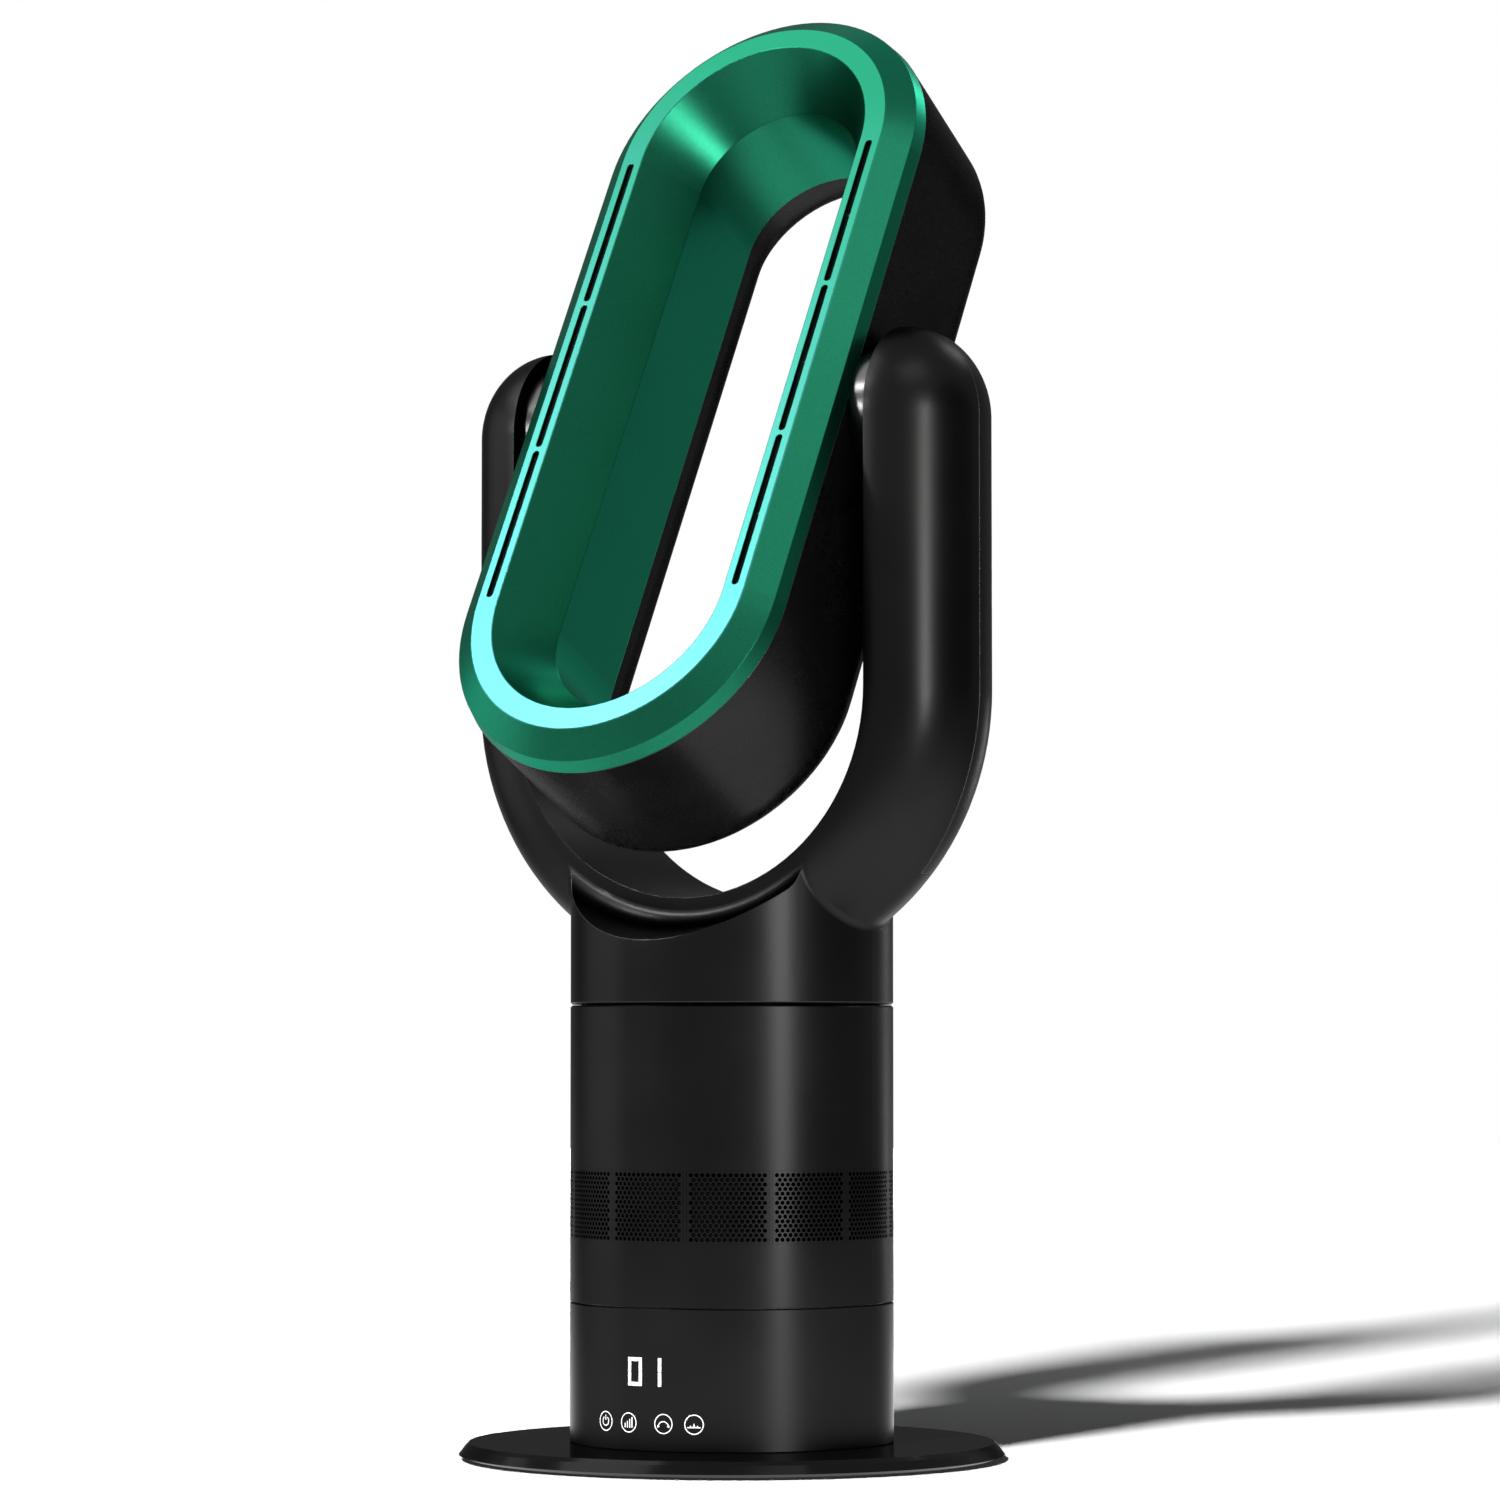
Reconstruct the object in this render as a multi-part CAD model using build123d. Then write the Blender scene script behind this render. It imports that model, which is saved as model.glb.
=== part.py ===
from build123d import *
import math
import os

# Bladeless fan: a tall oval air ring that tilts in a forked yoke, on a tower that turns on its base.
# Millimetres. +Z is up, the fan blows towards -Y, the origin is the centre of the rubber foot's underside.

# ---------------------------------------------------------------- shared clearances
RUN = 0.06            # radial play of a shaft in its bore
GAP = 0.4             # play between pieces that move past each other
FIT = 0.2             # play between fixed pieces that slip together
BREAK = 0.8           # chamfer on the tower's visible edges
FAR = 300.0           # longer than any piece: reach of cutting tools

# ---------------------------------------------------------------- tower
TOWER_R = 65.0
TOWER_WALL = 2.5
CONTROL_H = 55.7      # height of the control housing
SEAM_GAP = 0.6        # open line where the tower turns on its base
HOUSING_H = 118.2     # height of the main housing
SEAM_LINE = 0.3       # fine line between main housing and yoke
SCREW_INSET = 6.0     # upright screws stand this far inside the wall
SCREW_COUNT = 4
POST_R = 4.5          # screw posts inside the tower
POST_WEB = 3.0        # ribs that tie the posts to the wall
POST_H = 14.0         # posts of the main housing
SCREW_BLIND = 2.0     # solid end of a blind screw hole
TURNTABLE_SCREW_L = 12.0
M4_R = 2.0
M4_HEAD_R = 3.8
M4_HEAD_H = 2.4
M3_R = 1.5
M3_HEAD_R = 2.8
M3_HEAD_H = 1.8

# ---------------------------------------------------------------- base plate
PLATE_REACH = 44.5    # widest rim stands this far out from the tower
PLATE_LOW = 1.0       # underside of the plate
PLATE_TOP = 7.0
PLATE_LIP = 1.2       # height of the widest rim above the underside
PLATE_UNDERCUT = 3.6  # rounding under the rim
PLATE_TAPER = 2.6     # side wall leans in by this much
PLATE_EDGE = 1.5      # bright chamfer at the top edge
FOOT_INSET = 9.5
FOOT_T = 1.3          # pad is set into the plate, and the fan stands on it
WEIGHT_SCREW_GAP = 7.5
WEIGHT_INSET = 3.0    # weight ends this far inside the pad
WEIGHT_T = 3.2
BASE_SCREW_L = 10.0

# ---------------------------------------------------------------- control housing
FLOOR_T = 3.0
GLYPH_DEPTH = 0.5     # depth of the lit inlays in the wall
ICON_RISE = 11.0      # icons above the base plate
ICON_R = 3.9
ICON_LINE = 0.38
ICON_ANGLES = (-18.3, -7.1, 7.1, 18.3)
DIGIT_RISE = 31.0     # middle of the display above the base plate
DIGIT_H = 11.1
DIGIT_W = 6.65
DIGIT_STROKE = 1.45
DIGIT_SPLIT = 0.25    # dark line between lit segments
DIGIT_ANGLES = (-4.34, 3.37)
BOARD_T = 1.6
BOARD_GAP = 12.5      # upright control board stands this far behind the wall
BOARD_SHARE = 0.96    # board width over the tower's inside radius
BOARD_RISE = 5.0
BOARD_DROP = 6.4      # board ends this far under the deck
RIB_SHARE = 0.424     # board ribs on the front wall, likewise
RIB_W = 3.6
MODULE_W = 22.0       # light box behind the digits
MODULE_H = 14.0
PAD_R = 3.2           # sensing pads behind the icons
MAIN_BOARD_W = 54.0
MAIN_BOARD_D = 46.0
STANDOFF_H = 4.4
STANDOFF_R = 3.0
STANDOFF_INSET = 4.0
HEADER_H = 6.0        # plug that the lead bundle comes down to
HEADER_W = 8.0
TRANSFORMER_W = 14.0
TRANSFORMER_D = 12.0
TRANSFORMER_H = 15.0
TRANSFORMER_X = -12.0
TRANSFORMER_Y = 10.0
CAPACITORS = ((-16.0, -10.0, 5.0, 14.0), (-5.0, -12.0, 4.0, 10.0))  # x, y, radius, height
INLET_RISE = 11.0     # power inlet above the base plate
INLET_R = 4.6         # round nose of the power inlet
INLET_BORE_R = 2.8
INLET_PIN_R = 1.0
INLET_DEPTH = 9.0
INLET_BODY = 11.0     # square body behind the wall
INLET_LENGTH = 14.0

# ---------------------------------------------------------------- turning joint
DECK_DROP = 8.3       # deck lies this far below the housing's edge
DECK_T = 3.4
LEDGE_W = 4.0
LEDGE_H = 3.0
SPINDLE_R = 19.0
SPINDLE_WALL = 3.5
DECK_BOSS_WALL = 5.0
DECK_BOSS_H = 4.0
THRUST_R = 44.0
THRUST_W = 8.0
THRUST_T = 1.9
THRUST_PLAY = 0.1
TURNTABLE_T = 4.0
TURN_LIMIT = 40.0     # swing to each side
TURN_STOP_R = 30.0    # pitch radius of the stop pin under the turntable
TURN_STOP_PIN_R = 2.0
TURN_STOP_DEPTH = 1.8
STOP_PLAY = 0.5       # degrees left over at each stop
GEAR_SHARE = 0.016    # gear module over the tower's inside radius
RING_TEETH = 60
PINION_TEETH = 16
GEAR_WIDTH = 6.0
GEAR_PLAY = 0.15      # extra centre distance
BACKLASH = 0.2
PRESSURE_ANGLE = 20.0
ADDENDUM = 0.9
DEDENDUM = 1.25
CLIP_T = 1.5
CLIP_W = 4.0
GEARMOTOR_SHARE = 0.224   # gear motor radius, likewise
GEARMOTOR_H = 15.0
GEARMOTOR_OFFSET = 8.0
GEARMOTOR_EAR = 17.5
GEARMOTOR_EAR_R = 3.6
GEARMOTOR_EAR_T = 1.2
GEARMOTOR_SHAFT_R = 2.5
SHAFT_IN_MOTOR = 6.0

# ---------------------------------------------------------------- intake
WINDOW_COUNT = 12
WINDOW_ANGLE = 27.15
WINDOW_SHARE = 0.2267 # window height over the housing's height
WINDOW_PLACE = 0.33   # middle of the windows, likewise
PANEL_LAP = 1.0       # grille panel laps over its window
PANEL_T = 1.3
HOLE_ROWS = 5
HOLE_COLUMNS = 5
HOLE_SHARE = 0.68     # hole width over hole pitch
SCREEN_T = 1.5        # foam sleeve behind the panels

# ---------------------------------------------------------------- air mover
INLET_RING_RISE = 5.3 # inlet ring above the windows
INLET_RING_T = 2.0
THROAT_STEP = 5.0     # throat is this much tighter than the bucket
LIP_R = 5.0
BUCKET_INSET = 13.5
BUCKET_WALL = 2.0
SEAL_T = 1.2
BUCKET_DROP = 7.5     # bucket ends this far below the housing's top
FLANGE_T = 2.0
FLANGE_PLAY = 0.9
ISOLATOR_T = 1.6
YOKE_SCREW_INSET = 4.9
YOKE_POST_R = 4.2
YOKE_POST_H = 24.0
HOUSING_LEDGE_T = 3.0
IMPELLER_GAP = 0.6
IMPELLER_SHARE = 0.4418  # impeller height over the bucket's
IMPELLER_NOSE_R = 10.0
IMPELLER_BACK_STEP = 2.0
IMPELLER_TIP_PLAY = 0.8
IMPELLER_SKIN = 2.2
IMPELLER_BOSS_R = 7.0
BLADE_COUNT = 9
BLADE_T = 1.8
BLADE_PITCH = 38.0
SHAFT_R = 3.0
HUB_SHARE = 0.6122    # motor hub radius over the bucket's
HUB_WALL = 2.0
HUB_GAP = 1.8
HUB_DROP = 3.0
HUB_ROOF = 2.0
CAP_T = 2.5
VANE_COUNT = 11
VANE_T = 1.6
VANE_PITCH = -22.0
STATOR_H = 13.0
STATOR_PLAY = 0.5
ROTOR_SHARE = 0.4833  # rotor radius over the hub's
BEARING_R = 8.0
BEARING_T = 4.0
NUT_R = 5.5
NUT_H = 3.0
MOTOR_BOARD_W = 52.0
MOTOR_BOARD_D = 34.0
LEAD_R = 3.0

# ---------------------------------------------------------------- yoke
HUB_REACH = 9.3       # arms' flat inner faces stand this far out from the ring
YOKE_DEPTH = 32.0     # arm thickness outward
YOKE_HALF = 36.3      # half of the arm's width, front to back
YOKE_WALL = 2.4
SADDLE_RISE = 42.7    # inside of the bend above the main housing
PIVOT_CLEAR = 8.4     # room under the ring when it stands upright
SHOULDER_STEP = 17.2  # shoulder at the tower's front edge, below the inside of the bend
SHOULDER_RISE = 6.0   # shoulder climbs by this much towards the bend
SHOULDER_FILLET = 7.0
JUNCTION_FILLET = 4.0
SHOULDER_BITE = 4.0   # shoulder reaches this far under the arm's section
SHOULDER_SINK = 0.05
YOKE_SPLIT = 0.25     # fine line between the front shell and the arms' back covers
COVER_ANGLE = 40.0    # back covers begin this far below level, round the bend
SEAM_SCREW_IN = 14.9  # cover screws, outward from the arm's flat face
SEAM_SCREW_RISES = (23.7, 65.7)
SEAM_POST_R = 4.0
SEAM_HEAD_Y = 12.0    # depth where the screw heads sit

# ---------------------------------------------------------------- air ring
TILT = 29.15          # leans back by this angle at rest
RING_HALF = 109.0     # half of the straight sides
RING_DEPTH = 89.8
THROUGH_R = 35.85     # narrowest half width, at the back
NECK_STEP = 1.0
FLARE = 15.45         # inside flares out by this much to the lip
LIP_W = 9.15
CHAMFER_STEP = 10.05
CHAMFER_W = 8.15      # chamfer's depth behind the lip
BELT_STEP = 1.3
BELT_W = 14.55        # widest line, where the front bezel meets the rear shell
NECK_W = 24.8
DUCT_W = 67.75        # rear edge of the inner duct
BACK_TAPER = 1.95     # outer wall leans in by this much towards the back
RING_WALL = 2.2
SLOT_W = 3.0
SLOT_LENGTH = 70.2
SLOT_SPACE = 2.0
SLOT_COUNT = 3
STRIP_WALL = 1.0
STRIP_H = 9.0
STRIP_RIB = 1.0
STRIP_RIB_DROP = 1.2  # ribs sit this far below the lip's underside
GASKET_W = 1.6
GASKET_H = 3.2

# ---------------------------------------------------------------- trunnions
BOSS_R = 31.5
TRUNNION_R = 24.0
TRUNNION_WALL = 3.5
BUSH_W = 3.0
BUSH_T = 4.4
WASHER_T = 0.3
TRUNNION_CLIP_T = 1.6
TRUNNION_CLIP_W = 4.0
TILT_STOP = 45.0      # lean allowed backward and forward of upright
TILT_STOP_HALF = 6.0  # half of the stop lug's angle
TILT_STOP_AT = 180.0  # lug sits straight below the pivot
TRUNNION_SCREW_COUNT = 3
TRUNNION_SCREW_LENGTH = 9.0

# ---------------------------------------------------------------- derived places
TOWER_IN_R = TOWER_R - TOWER_WALL
SCREW_R = TOWER_IN_R - SCREW_INSET
YOKE_SCREW_R = TOWER_IN_R - YOKE_SCREW_INSET
PLATE_R = TOWER_R + PLATE_REACH
FOOT_R = PLATE_R - FOOT_INSET
WEIGHT_OUT_R = FOOT_R - WEIGHT_INSET
WEIGHT_IN_R = SCREW_R + WEIGHT_SCREW_GAP
FLOOR_TOP = PLATE_TOP + FLOOR_T
CONTROL_TOP = PLATE_TOP + CONTROL_H
ICON_Z = PLATE_TOP + ICON_RISE
DIGIT_Z = PLATE_TOP + DIGIT_RISE
INLET_Z = PLATE_TOP + INLET_RISE
DECK_LOW = CONTROL_TOP - DECK_DROP
DECK_TOP = DECK_LOW + DECK_T
DECK_R = TOWER_IN_R - FIT
DECK_BOSS_R = SPINDLE_R + DECK_BOSS_WALL
BOARD_Y = BOARD_GAP - TOWER_IN_R
BOARD_W = BOARD_SHARE * TOWER_IN_R
RIB_X = RIB_SHARE * TOWER_IN_R
BOARD_LOW = PLATE_TOP + BOARD_RISE
BOARD_HIGH = DECK_LOW - BOARD_DROP
MAIN_BOARD_Z = FLOOR_TOP + STANDOFF_H
TURNTABLE_LOW = DECK_TOP + THRUST_T + THRUST_PLAY
TURNTABLE_TOP = TURNTABLE_LOW + TURNTABLE_T
TURNTABLE_R = TOWER_IN_R - GAP
MOTOR_BOARD_Z = TURNTABLE_TOP + STANDOFF_H
BOSS_LOW = DECK_LOW - DECK_BOSS_H
GEAR_TOP = BOSS_LOW - GAP
GEAR_LOW = GEAR_TOP - GEAR_WIDTH
SPINDLE_LOW = GEAR_LOW - 2 * CLIP_T
SPINDLE_IN_R = SPINDLE_R - SPINDLE_WALL
GEAR_MODULE = GEAR_SHARE * TOWER_IN_R
GEARMOTOR_R = GEARMOTOR_SHARE * TOWER_IN_R
RING_GEAR_R = GEAR_MODULE * RING_TEETH / 2
PINION_R = GEAR_MODULE * PINION_TEETH / 2
PINION_X = RING_GEAR_R + PINION_R + GEAR_PLAY
GEARMOTOR_X = PINION_X + GEARMOTOR_OFFSET
GEARMOTOR_TOP = GEAR_LOW - 4 * GAP
HOUSING_LOW = CONTROL_TOP + SEAM_GAP
HOUSING_TOP = HOUSING_LOW + HOUSING_H
WINDOW_H = WINDOW_SHARE * HOUSING_H
WINDOW_Z = HOUSING_LOW + WINDOW_PLACE * HOUSING_H
INLET_RING_Z = WINDOW_Z + WINDOW_H / 2 + INLET_RING_RISE
BUCKET_R = TOWER_IN_R - BUCKET_INSET
BUCKET_LOW = INLET_RING_Z + INLET_RING_T + SEAL_T
BUCKET_TOP = HOUSING_TOP - BUCKET_DROP
THROAT_R = BUCKET_R - THROAT_STEP
FLANGE_R = TOWER_IN_R - FLANGE_PLAY
LEDGE_TOP = BUCKET_TOP - FLANGE_T - ISOLATOR_T
HUB_R = HUB_SHARE * BUCKET_R
ROTOR_R = ROTOR_SHARE * HUB_R
IMPELLER_R = BUCKET_R - IMPELLER_TIP_PLAY
IMPELLER_BACK_R = HUB_R - IMPELLER_BACK_STEP
IMPELLER_H = IMPELLER_SHARE * (BUCKET_TOP - BUCKET_LOW)
IMPELLER_LOW = INLET_RING_Z + LIP_R + IMPELLER_GAP
HUB_LOW = IMPELLER_LOW + IMPELLER_H + HUB_GAP
HUB_TOP = BUCKET_TOP - HUB_DROP
CAP_TOP = HUB_LOW + CAP_T
STATOR_BORE_R = ROTOR_R + STATOR_PLAY
NECK_R = THROUGH_R + NECK_STEP
LIP_IN_R = NECK_R + FLARE
LIP_OUT_R = LIP_IN_R + LIP_W
CHAMFER_R = LIP_OUT_R + CHAMFER_STEP
BELT_R = CHAMFER_R + BELT_STEP
BACK_R = BELT_R - BACK_TAPER
ROUND_R = (BACK_R - THROUGH_R) / 2
ROUND_W = RING_DEPTH - ROUND_R
SLOT_R = (LIP_IN_R + LIP_OUT_R) / 2
YOKE_LOW = HOUSING_TOP + SEAM_LINE
YOKE_R = BELT_R + HUB_REACH
SADDLE_Z = HOUSING_TOP + SADDLE_RISE
BEND_Z = SADDLE_Z + YOKE_R
PIVOT_Z = SADDLE_Z + PIVOT_CLEAR + BELT_R + RING_HALF
SHOULDER_R = YOKE_R + SHOULDER_STEP
SEAM_SCREW_X = YOKE_R + SEAM_SCREW_IN
YOKE_FACE_X = YOKE_R + YOKE_WALL
BOSS_OUT_X = YOKE_R - WASHER_T - RUN
SPIGOT_OUT_X = YOKE_R + BUSH_T + TRUNNION_CLIP_T + 2 * GAP
TRUNNION_SCREW_R = (TRUNNION_R + BOSS_R) / 2
LEAN = math.radians(TILT)
RING_Y = -RING_DEPTH / 2 * math.cos(LEAN)
RING_Z = PIVOT_Z + RING_DEPTH / 2 * math.sin(LEAN)
RING_PLANE = Plane(origin=(0, RING_Y, RING_Z), x_dir=(1, 0, 0), z_dir=(0, -math.cos(LEAN), math.sin(LEAN)))


# ---------------------------------------------------------------- helpers
def disc(radius, low, high):
    return Pos(0, 0, (low + high) / 2) * Cylinder(radius, high - low)


def tube(inner, outer, low, high):
    return disc(outer, low, high) - disc(inner, low, high)


def block(width, depth, low, high, x=0.0, y=0.0):
    return Pos(x, y, (low + high) / 2) * Box(width, depth, high - low)


def around(shape, count, first=0.0):
    step = 360 / count
    return [Rot(0, 0, first + step * i) * shape for i in range(count)]


def at_posts(shape):
    """The shape, made on +X, at each upright screw post of the tower."""
    return around(shape, SCREW_COUNT, 45)


def lathe(*points):
    """Solid of revolution about Z from points given as (radius, height)."""
    outline = make_face(Polyline(*[(r, 0, z) for r, z in points], close=True))
    return revolve(outline, Axis.Z, 360)


def screw(radius, head_radius, head_height, length):
    """A screw along +Z with its head's top at the origin plane and its shank going up."""
    return disc(head_radius, 0, head_height) + disc(radius, head_height, head_height + length)


def web(radius, low, high):
    """A rib that ties a post on +X, at this radius, to the tower's wall."""
    return block(TOWER_IN_R + TOWER_WALL / 2 - radius, POST_WEB, low, high, (TOWER_IN_R + TOWER_WALL / 2 + radius) / 2)


def bore_x(radius, x_from, x_to, y=0.0, z=0.0):
    """A cylinder along X."""
    middle = (x_from + x_to) / 2
    return Pos(middle, y, z) * (Rot(0, 90, 0) * Cylinder(radius, x_to - x_from))


def bore_y(radius, y_from, y_to, x=0.0, z=0.0):
    """A cylinder along Y."""
    middle = (y_from + y_to) / 2
    return Pos(x, middle, z) * (Rot(90, 0, 0) * Cylinder(radius, y_to - y_from))


def sector_x(radius, x_from, x_to, start, end):
    """A pie slice about the tilt axis; angles run from straight up towards the back, in degrees."""
    steps = max(1, math.ceil((end - start) / 45))
    angles = [math.radians(start + (end - start) * i / steps) for i in range(steps + 1)]
    rim = [(2 * radius * math.sin(a), 2 * radius * math.cos(a)) for a in angles]
    slice_face = Plane.YZ * make_face(Polyline((0, 0), *rim, close=True))
    slice_solid = Pos(x_from, 0, PIVOT_Z) * extrude(slice_face, x_to - x_from, dir=(1, 0, 0))
    return slice_solid & bore_x(radius, x_from, x_to, 0, PIVOT_Z)


def arc_slot(radius, width, half_angle, low, high):
    """A curved slot about Z, centred on +X."""
    far = 2 * radius
    a = math.radians(half_angle)
    wedge = make_face(Polyline((0, 0), (far * math.cos(a), -far * math.sin(a)), (far * 2, 0),
                               (far * math.cos(a), far * math.sin(a)), close=True))
    ring = tube(radius - width / 2, radius + width / 2, low, high)
    return ring & (Pos(0, 0, low) * extrude(wedge, high - low))


def both_sides(shape):
    return [shape, mirror(shape, Plane.YZ)]


# ---------------------------------------------------------------- base
def base_plate():
    rim = PLATE_LOW + PLATE_LIP
    shoulder = PLATE_TOP - PLATE_EDGE
    plate = lathe(
        (0, PLATE_LOW), (PLATE_R - PLATE_UNDERCUT, PLATE_LOW), (PLATE_R, rim),
        (PLATE_R - PLATE_TAPER, shoulder), (PLATE_R - PLATE_TAPER - PLATE_EDGE, PLATE_TOP), (0, PLATE_TOP),
    )
    plate -= disc(FOOT_R + FIT, PLATE_LOW, FOOT_T)
    plate -= tube(WEIGHT_IN_R - FIT, WEIGHT_OUT_R + FIT, FOOT_T, FOOT_T + WEIGHT_T)
    hole = disc(M4_R + FIT, FOOT_T, PLATE_TOP) + disc(M4_HEAD_R + FIT, FOOT_T, FOOT_T + M4_HEAD_H)
    return plate - at_posts(Pos(SCREW_R, 0, 0) * hole)


def base_weight():
    return tube(WEIGHT_IN_R, WEIGHT_OUT_R, FOOT_T, FOOT_T + WEIGHT_T)


def foot_pad():
    return disc(FOOT_R, 0, FOOT_T)


def base_screws():
    one = screw(M4_R, M4_HEAD_R, M4_HEAD_H, BASE_SCREW_L)
    return at_posts(Pos(SCREW_R, 0, FOOT_T) * one)


# ---------------------------------------------------------------- lit inlays in the front wall
def wall_plane(angle, height):
    """Plane tangent to the tower at an angle from the front, X to the right and Y up."""
    a = math.radians(angle)
    out = (math.sin(a), -math.cos(a), 0)
    reach = TOWER_R + GAP
    return Plane(
        origin=(out[0] * reach, out[1] * reach, height),
        x_dir=(math.cos(a), math.sin(a), 0), z_dir=out,
    )


def inlay(sketch, angle, height):
    """The sketch laid into the tower's wall, flush with its surface."""
    prism = extrude(wall_plane(angle, height) * sketch, -TOWER_WALL)
    skin = tube(TOWER_R - GLYPH_DEPTH, TOWER_R, height - DIGIT_H, height + DIGIT_H)
    return (prism & skin).solids()


def bar(width, height, x=0.0, y=0.0):
    return Pos(x, y) * Rectangle(width, height)


def digit_segments(lit):
    """Lit segments, named a to f clockwise from the top, of one digit."""
    side_x = (DIGIT_W - DIGIT_STROKE) / 2
    side_h = DIGIT_H / 2 - DIGIT_SPLIT / 2
    side_y = side_h / 2 + DIGIT_SPLIT / 2
    end_w = DIGIT_W - 2 * DIGIT_STROKE - 2 * DIGIT_SPLIT
    end_y = (DIGIT_H - DIGIT_STROKE) / 2
    shapes = {
        "a": bar(end_w, DIGIT_STROKE, 0, end_y),
        "b": bar(DIGIT_STROKE, side_h, side_x, side_y),
        "c": bar(DIGIT_STROKE, side_h, side_x, -side_y),
        "d": bar(end_w, DIGIT_STROKE, 0, -end_y),
        "e": bar(DIGIT_STROKE, side_h, -side_x, -side_y),
        "f": bar(DIGIT_STROKE, side_h, -side_x, side_y),
    }
    return [shapes[name] for name in lit]


def display_digits():
    solids = []
    for angle, lit in zip(DIGIT_ANGLES, ("abcdef", "bc")):
        for segment in digit_segments(lit):
            solids += inlay(segment, angle, DIGIT_Z)
    return solids


def power_symbol():
    r = ICON_R / 2
    open_ring = Circle(r) - Circle(r - ICON_LINE)
    open_ring -= bar(r, r, 0, r)
    return [open_ring, bar(ICON_LINE, r, 0, r * 0.75)]


def bars_symbol():
    step = ICON_R / 3.4
    heights = (1.8, 2.6, 3.4, 4.2)
    first = -1.5 * step
    return [bar(ICON_LINE * 1.2, h, first + step * i, h / 2 - 2.0) for i, h in enumerate(heights)]


def swing_symbol():
    r = ICON_R * 0.62
    arc = (Circle(r) - Circle(r - ICON_LINE)) & bar(2 * r, r, 0, r * 0.75)
    arc = Pos(0, -r * 0.55) * arc
    side = ICON_LINE * 3
    head = Triangle(a=side, b=side, c=side)
    left = Pos(-r * 0.92, -r * 0.42) * (Rot(0, 0, 150) * head)
    right = Pos(r * 0.92, -r * 0.42) * (Rot(0, 0, -150) * head)
    return [arc, left, right]


def mode_symbol():
    base_y = -ICON_R * 0.3
    line = bar(ICON_R * 1.35, ICON_LINE, 0, base_y)
    peak = Triangle(a=1.0, b=1.6, c=1.6)
    low = Triangle(a=0.9, b=0.9, c=0.9)
    return [line + Pos(0, base_y + 0.7) * peak + Pos(-1.4, base_y + 0.35) * low + Pos(1.4, base_y + 0.35) * low]


def touch_icons():
    solids = []
    symbols = (power_symbol(), bars_symbol(), swing_symbol(), mode_symbol())
    for angle, symbol in zip(ICON_ANGLES, symbols):
        rim = Circle(ICON_R) - Circle(ICON_R - ICON_LINE)
        for shape in [rim] + symbol:
            solids += inlay(shape, angle, ICON_Z)
    return solids


# ---------------------------------------------------------------- control housing and what it holds
def rib(side):
    depth = TOWER_R + BOARD_Y
    reach = block(RIB_W, depth, BOARD_LOW, BOARD_HIGH, side * RIB_X, BOARD_Y - depth / 2)
    return reach & disc(TOWER_IN_R + TOWER_WALL / 2, BOARD_LOW, BOARD_HIGH)


def board_holes(radius):
    """Cylinders along Y at the control board's four screws."""
    heights = (BOARD_LOW + 2 * M3_HEAD_R, BOARD_HIGH - 2 * M3_HEAD_R)
    return [bore_y(radius, BOARD_Y - 5, BOARD_Y + BOARD_T, s * RIB_X, z) for s in (-1, 1) for z in heights]


def control_housing(glyphs):
    wall = tube(TOWER_IN_R, TOWER_R, PLATE_TOP, CONTROL_TOP)
    wall = chamfer(wall.edges().filter_by(GeomType.CIRCLE).filter_by(lambda e: e.radius > TOWER_IN_R + 1), BREAK / 2)
    post = disc(POST_R, FLOOR_TOP, DECK_LOW)
    ledge = tube(TOWER_IN_R - LEDGE_W, TOWER_IN_R, DECK_LOW - LEDGE_H, DECK_LOW)
    body = wall + disc(TOWER_IN_R, PLATE_TOP, FLOOR_TOP) + ledge
    body += at_posts(Pos(SCREW_R, 0, 0) * post)
    body += [rib(-1), rib(1)]
    body += standoffs(MAIN_BOARD_W, MAIN_BOARD_D, FLOOR_TOP)
    low_bore = disc(M4_R, PLATE_TOP, FOOT_T + M4_HEAD_H + BASE_SCREW_L + 1)
    high_bore = disc(M3_R, DECK_LOW - 2 * POST_R, DECK_LOW)
    body -= at_posts(Pos(SCREW_R, 0, 0) * (low_bore + high_bore))
    body -= board_holes(M3_R - FIT / 2)
    body -= standoff_holes(MAIN_BOARD_W, MAIN_BOARD_D, FLOOR_TOP)
    body -= bore_y(INLET_R + FIT, TOWER_IN_R - 1, TOWER_R + 1, 0, INLET_Z)
    return body - glyphs


def standoff_spots(width, depth):
    x = width / 2 - STANDOFF_INSET
    y = depth / 2 - STANDOFF_INSET
    return [(sx * x, sy * y) for sx in (-1, 1) for sy in (-1, 1)]


def standoffs(width, depth, low):
    return [Pos(x, y, 0) * disc(STANDOFF_R, low, low + STANDOFF_H) for x, y in standoff_spots(width, depth)]


def standoff_holes(width, depth, low):
    top = low + STANDOFF_H
    return [Pos(x, y, 0) * disc(M3_R, low + 1, top + BOARD_T) for x, y in standoff_spots(width, depth)]


def flat_board(width, depth, low):
    """A circuit board lying on its standoffs."""
    z = low + STANDOFF_H
    return block(width, depth, z, z + BOARD_T) - standoff_holes(width, depth, low)


def flat_board_screws(width, depth, low):
    top = low + STANDOFF_H + BOARD_T
    one = disc(M3_HEAD_R, top, top + M3_HEAD_H) + disc(M3_R, low + 1, top)
    return [Pos(x, y, 0) * one for x, y in standoff_spots(width, depth)]


def control_board():
    middle = BOARD_Y + BOARD_T / 2
    return block(BOARD_W, BOARD_T, BOARD_LOW, BOARD_HIGH, 0, middle) - board_holes(M3_R)


def board_screws():
    back = BOARD_Y + BOARD_T
    heads = []
    for hole in board_holes(M3_R - FIT / 2):
        centre = hole.bounding_box().center()
        heads.append(hole + bore_y(M3_HEAD_R, back, back + M3_HEAD_H, centre.X, centre.Z))
    return heads


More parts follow.
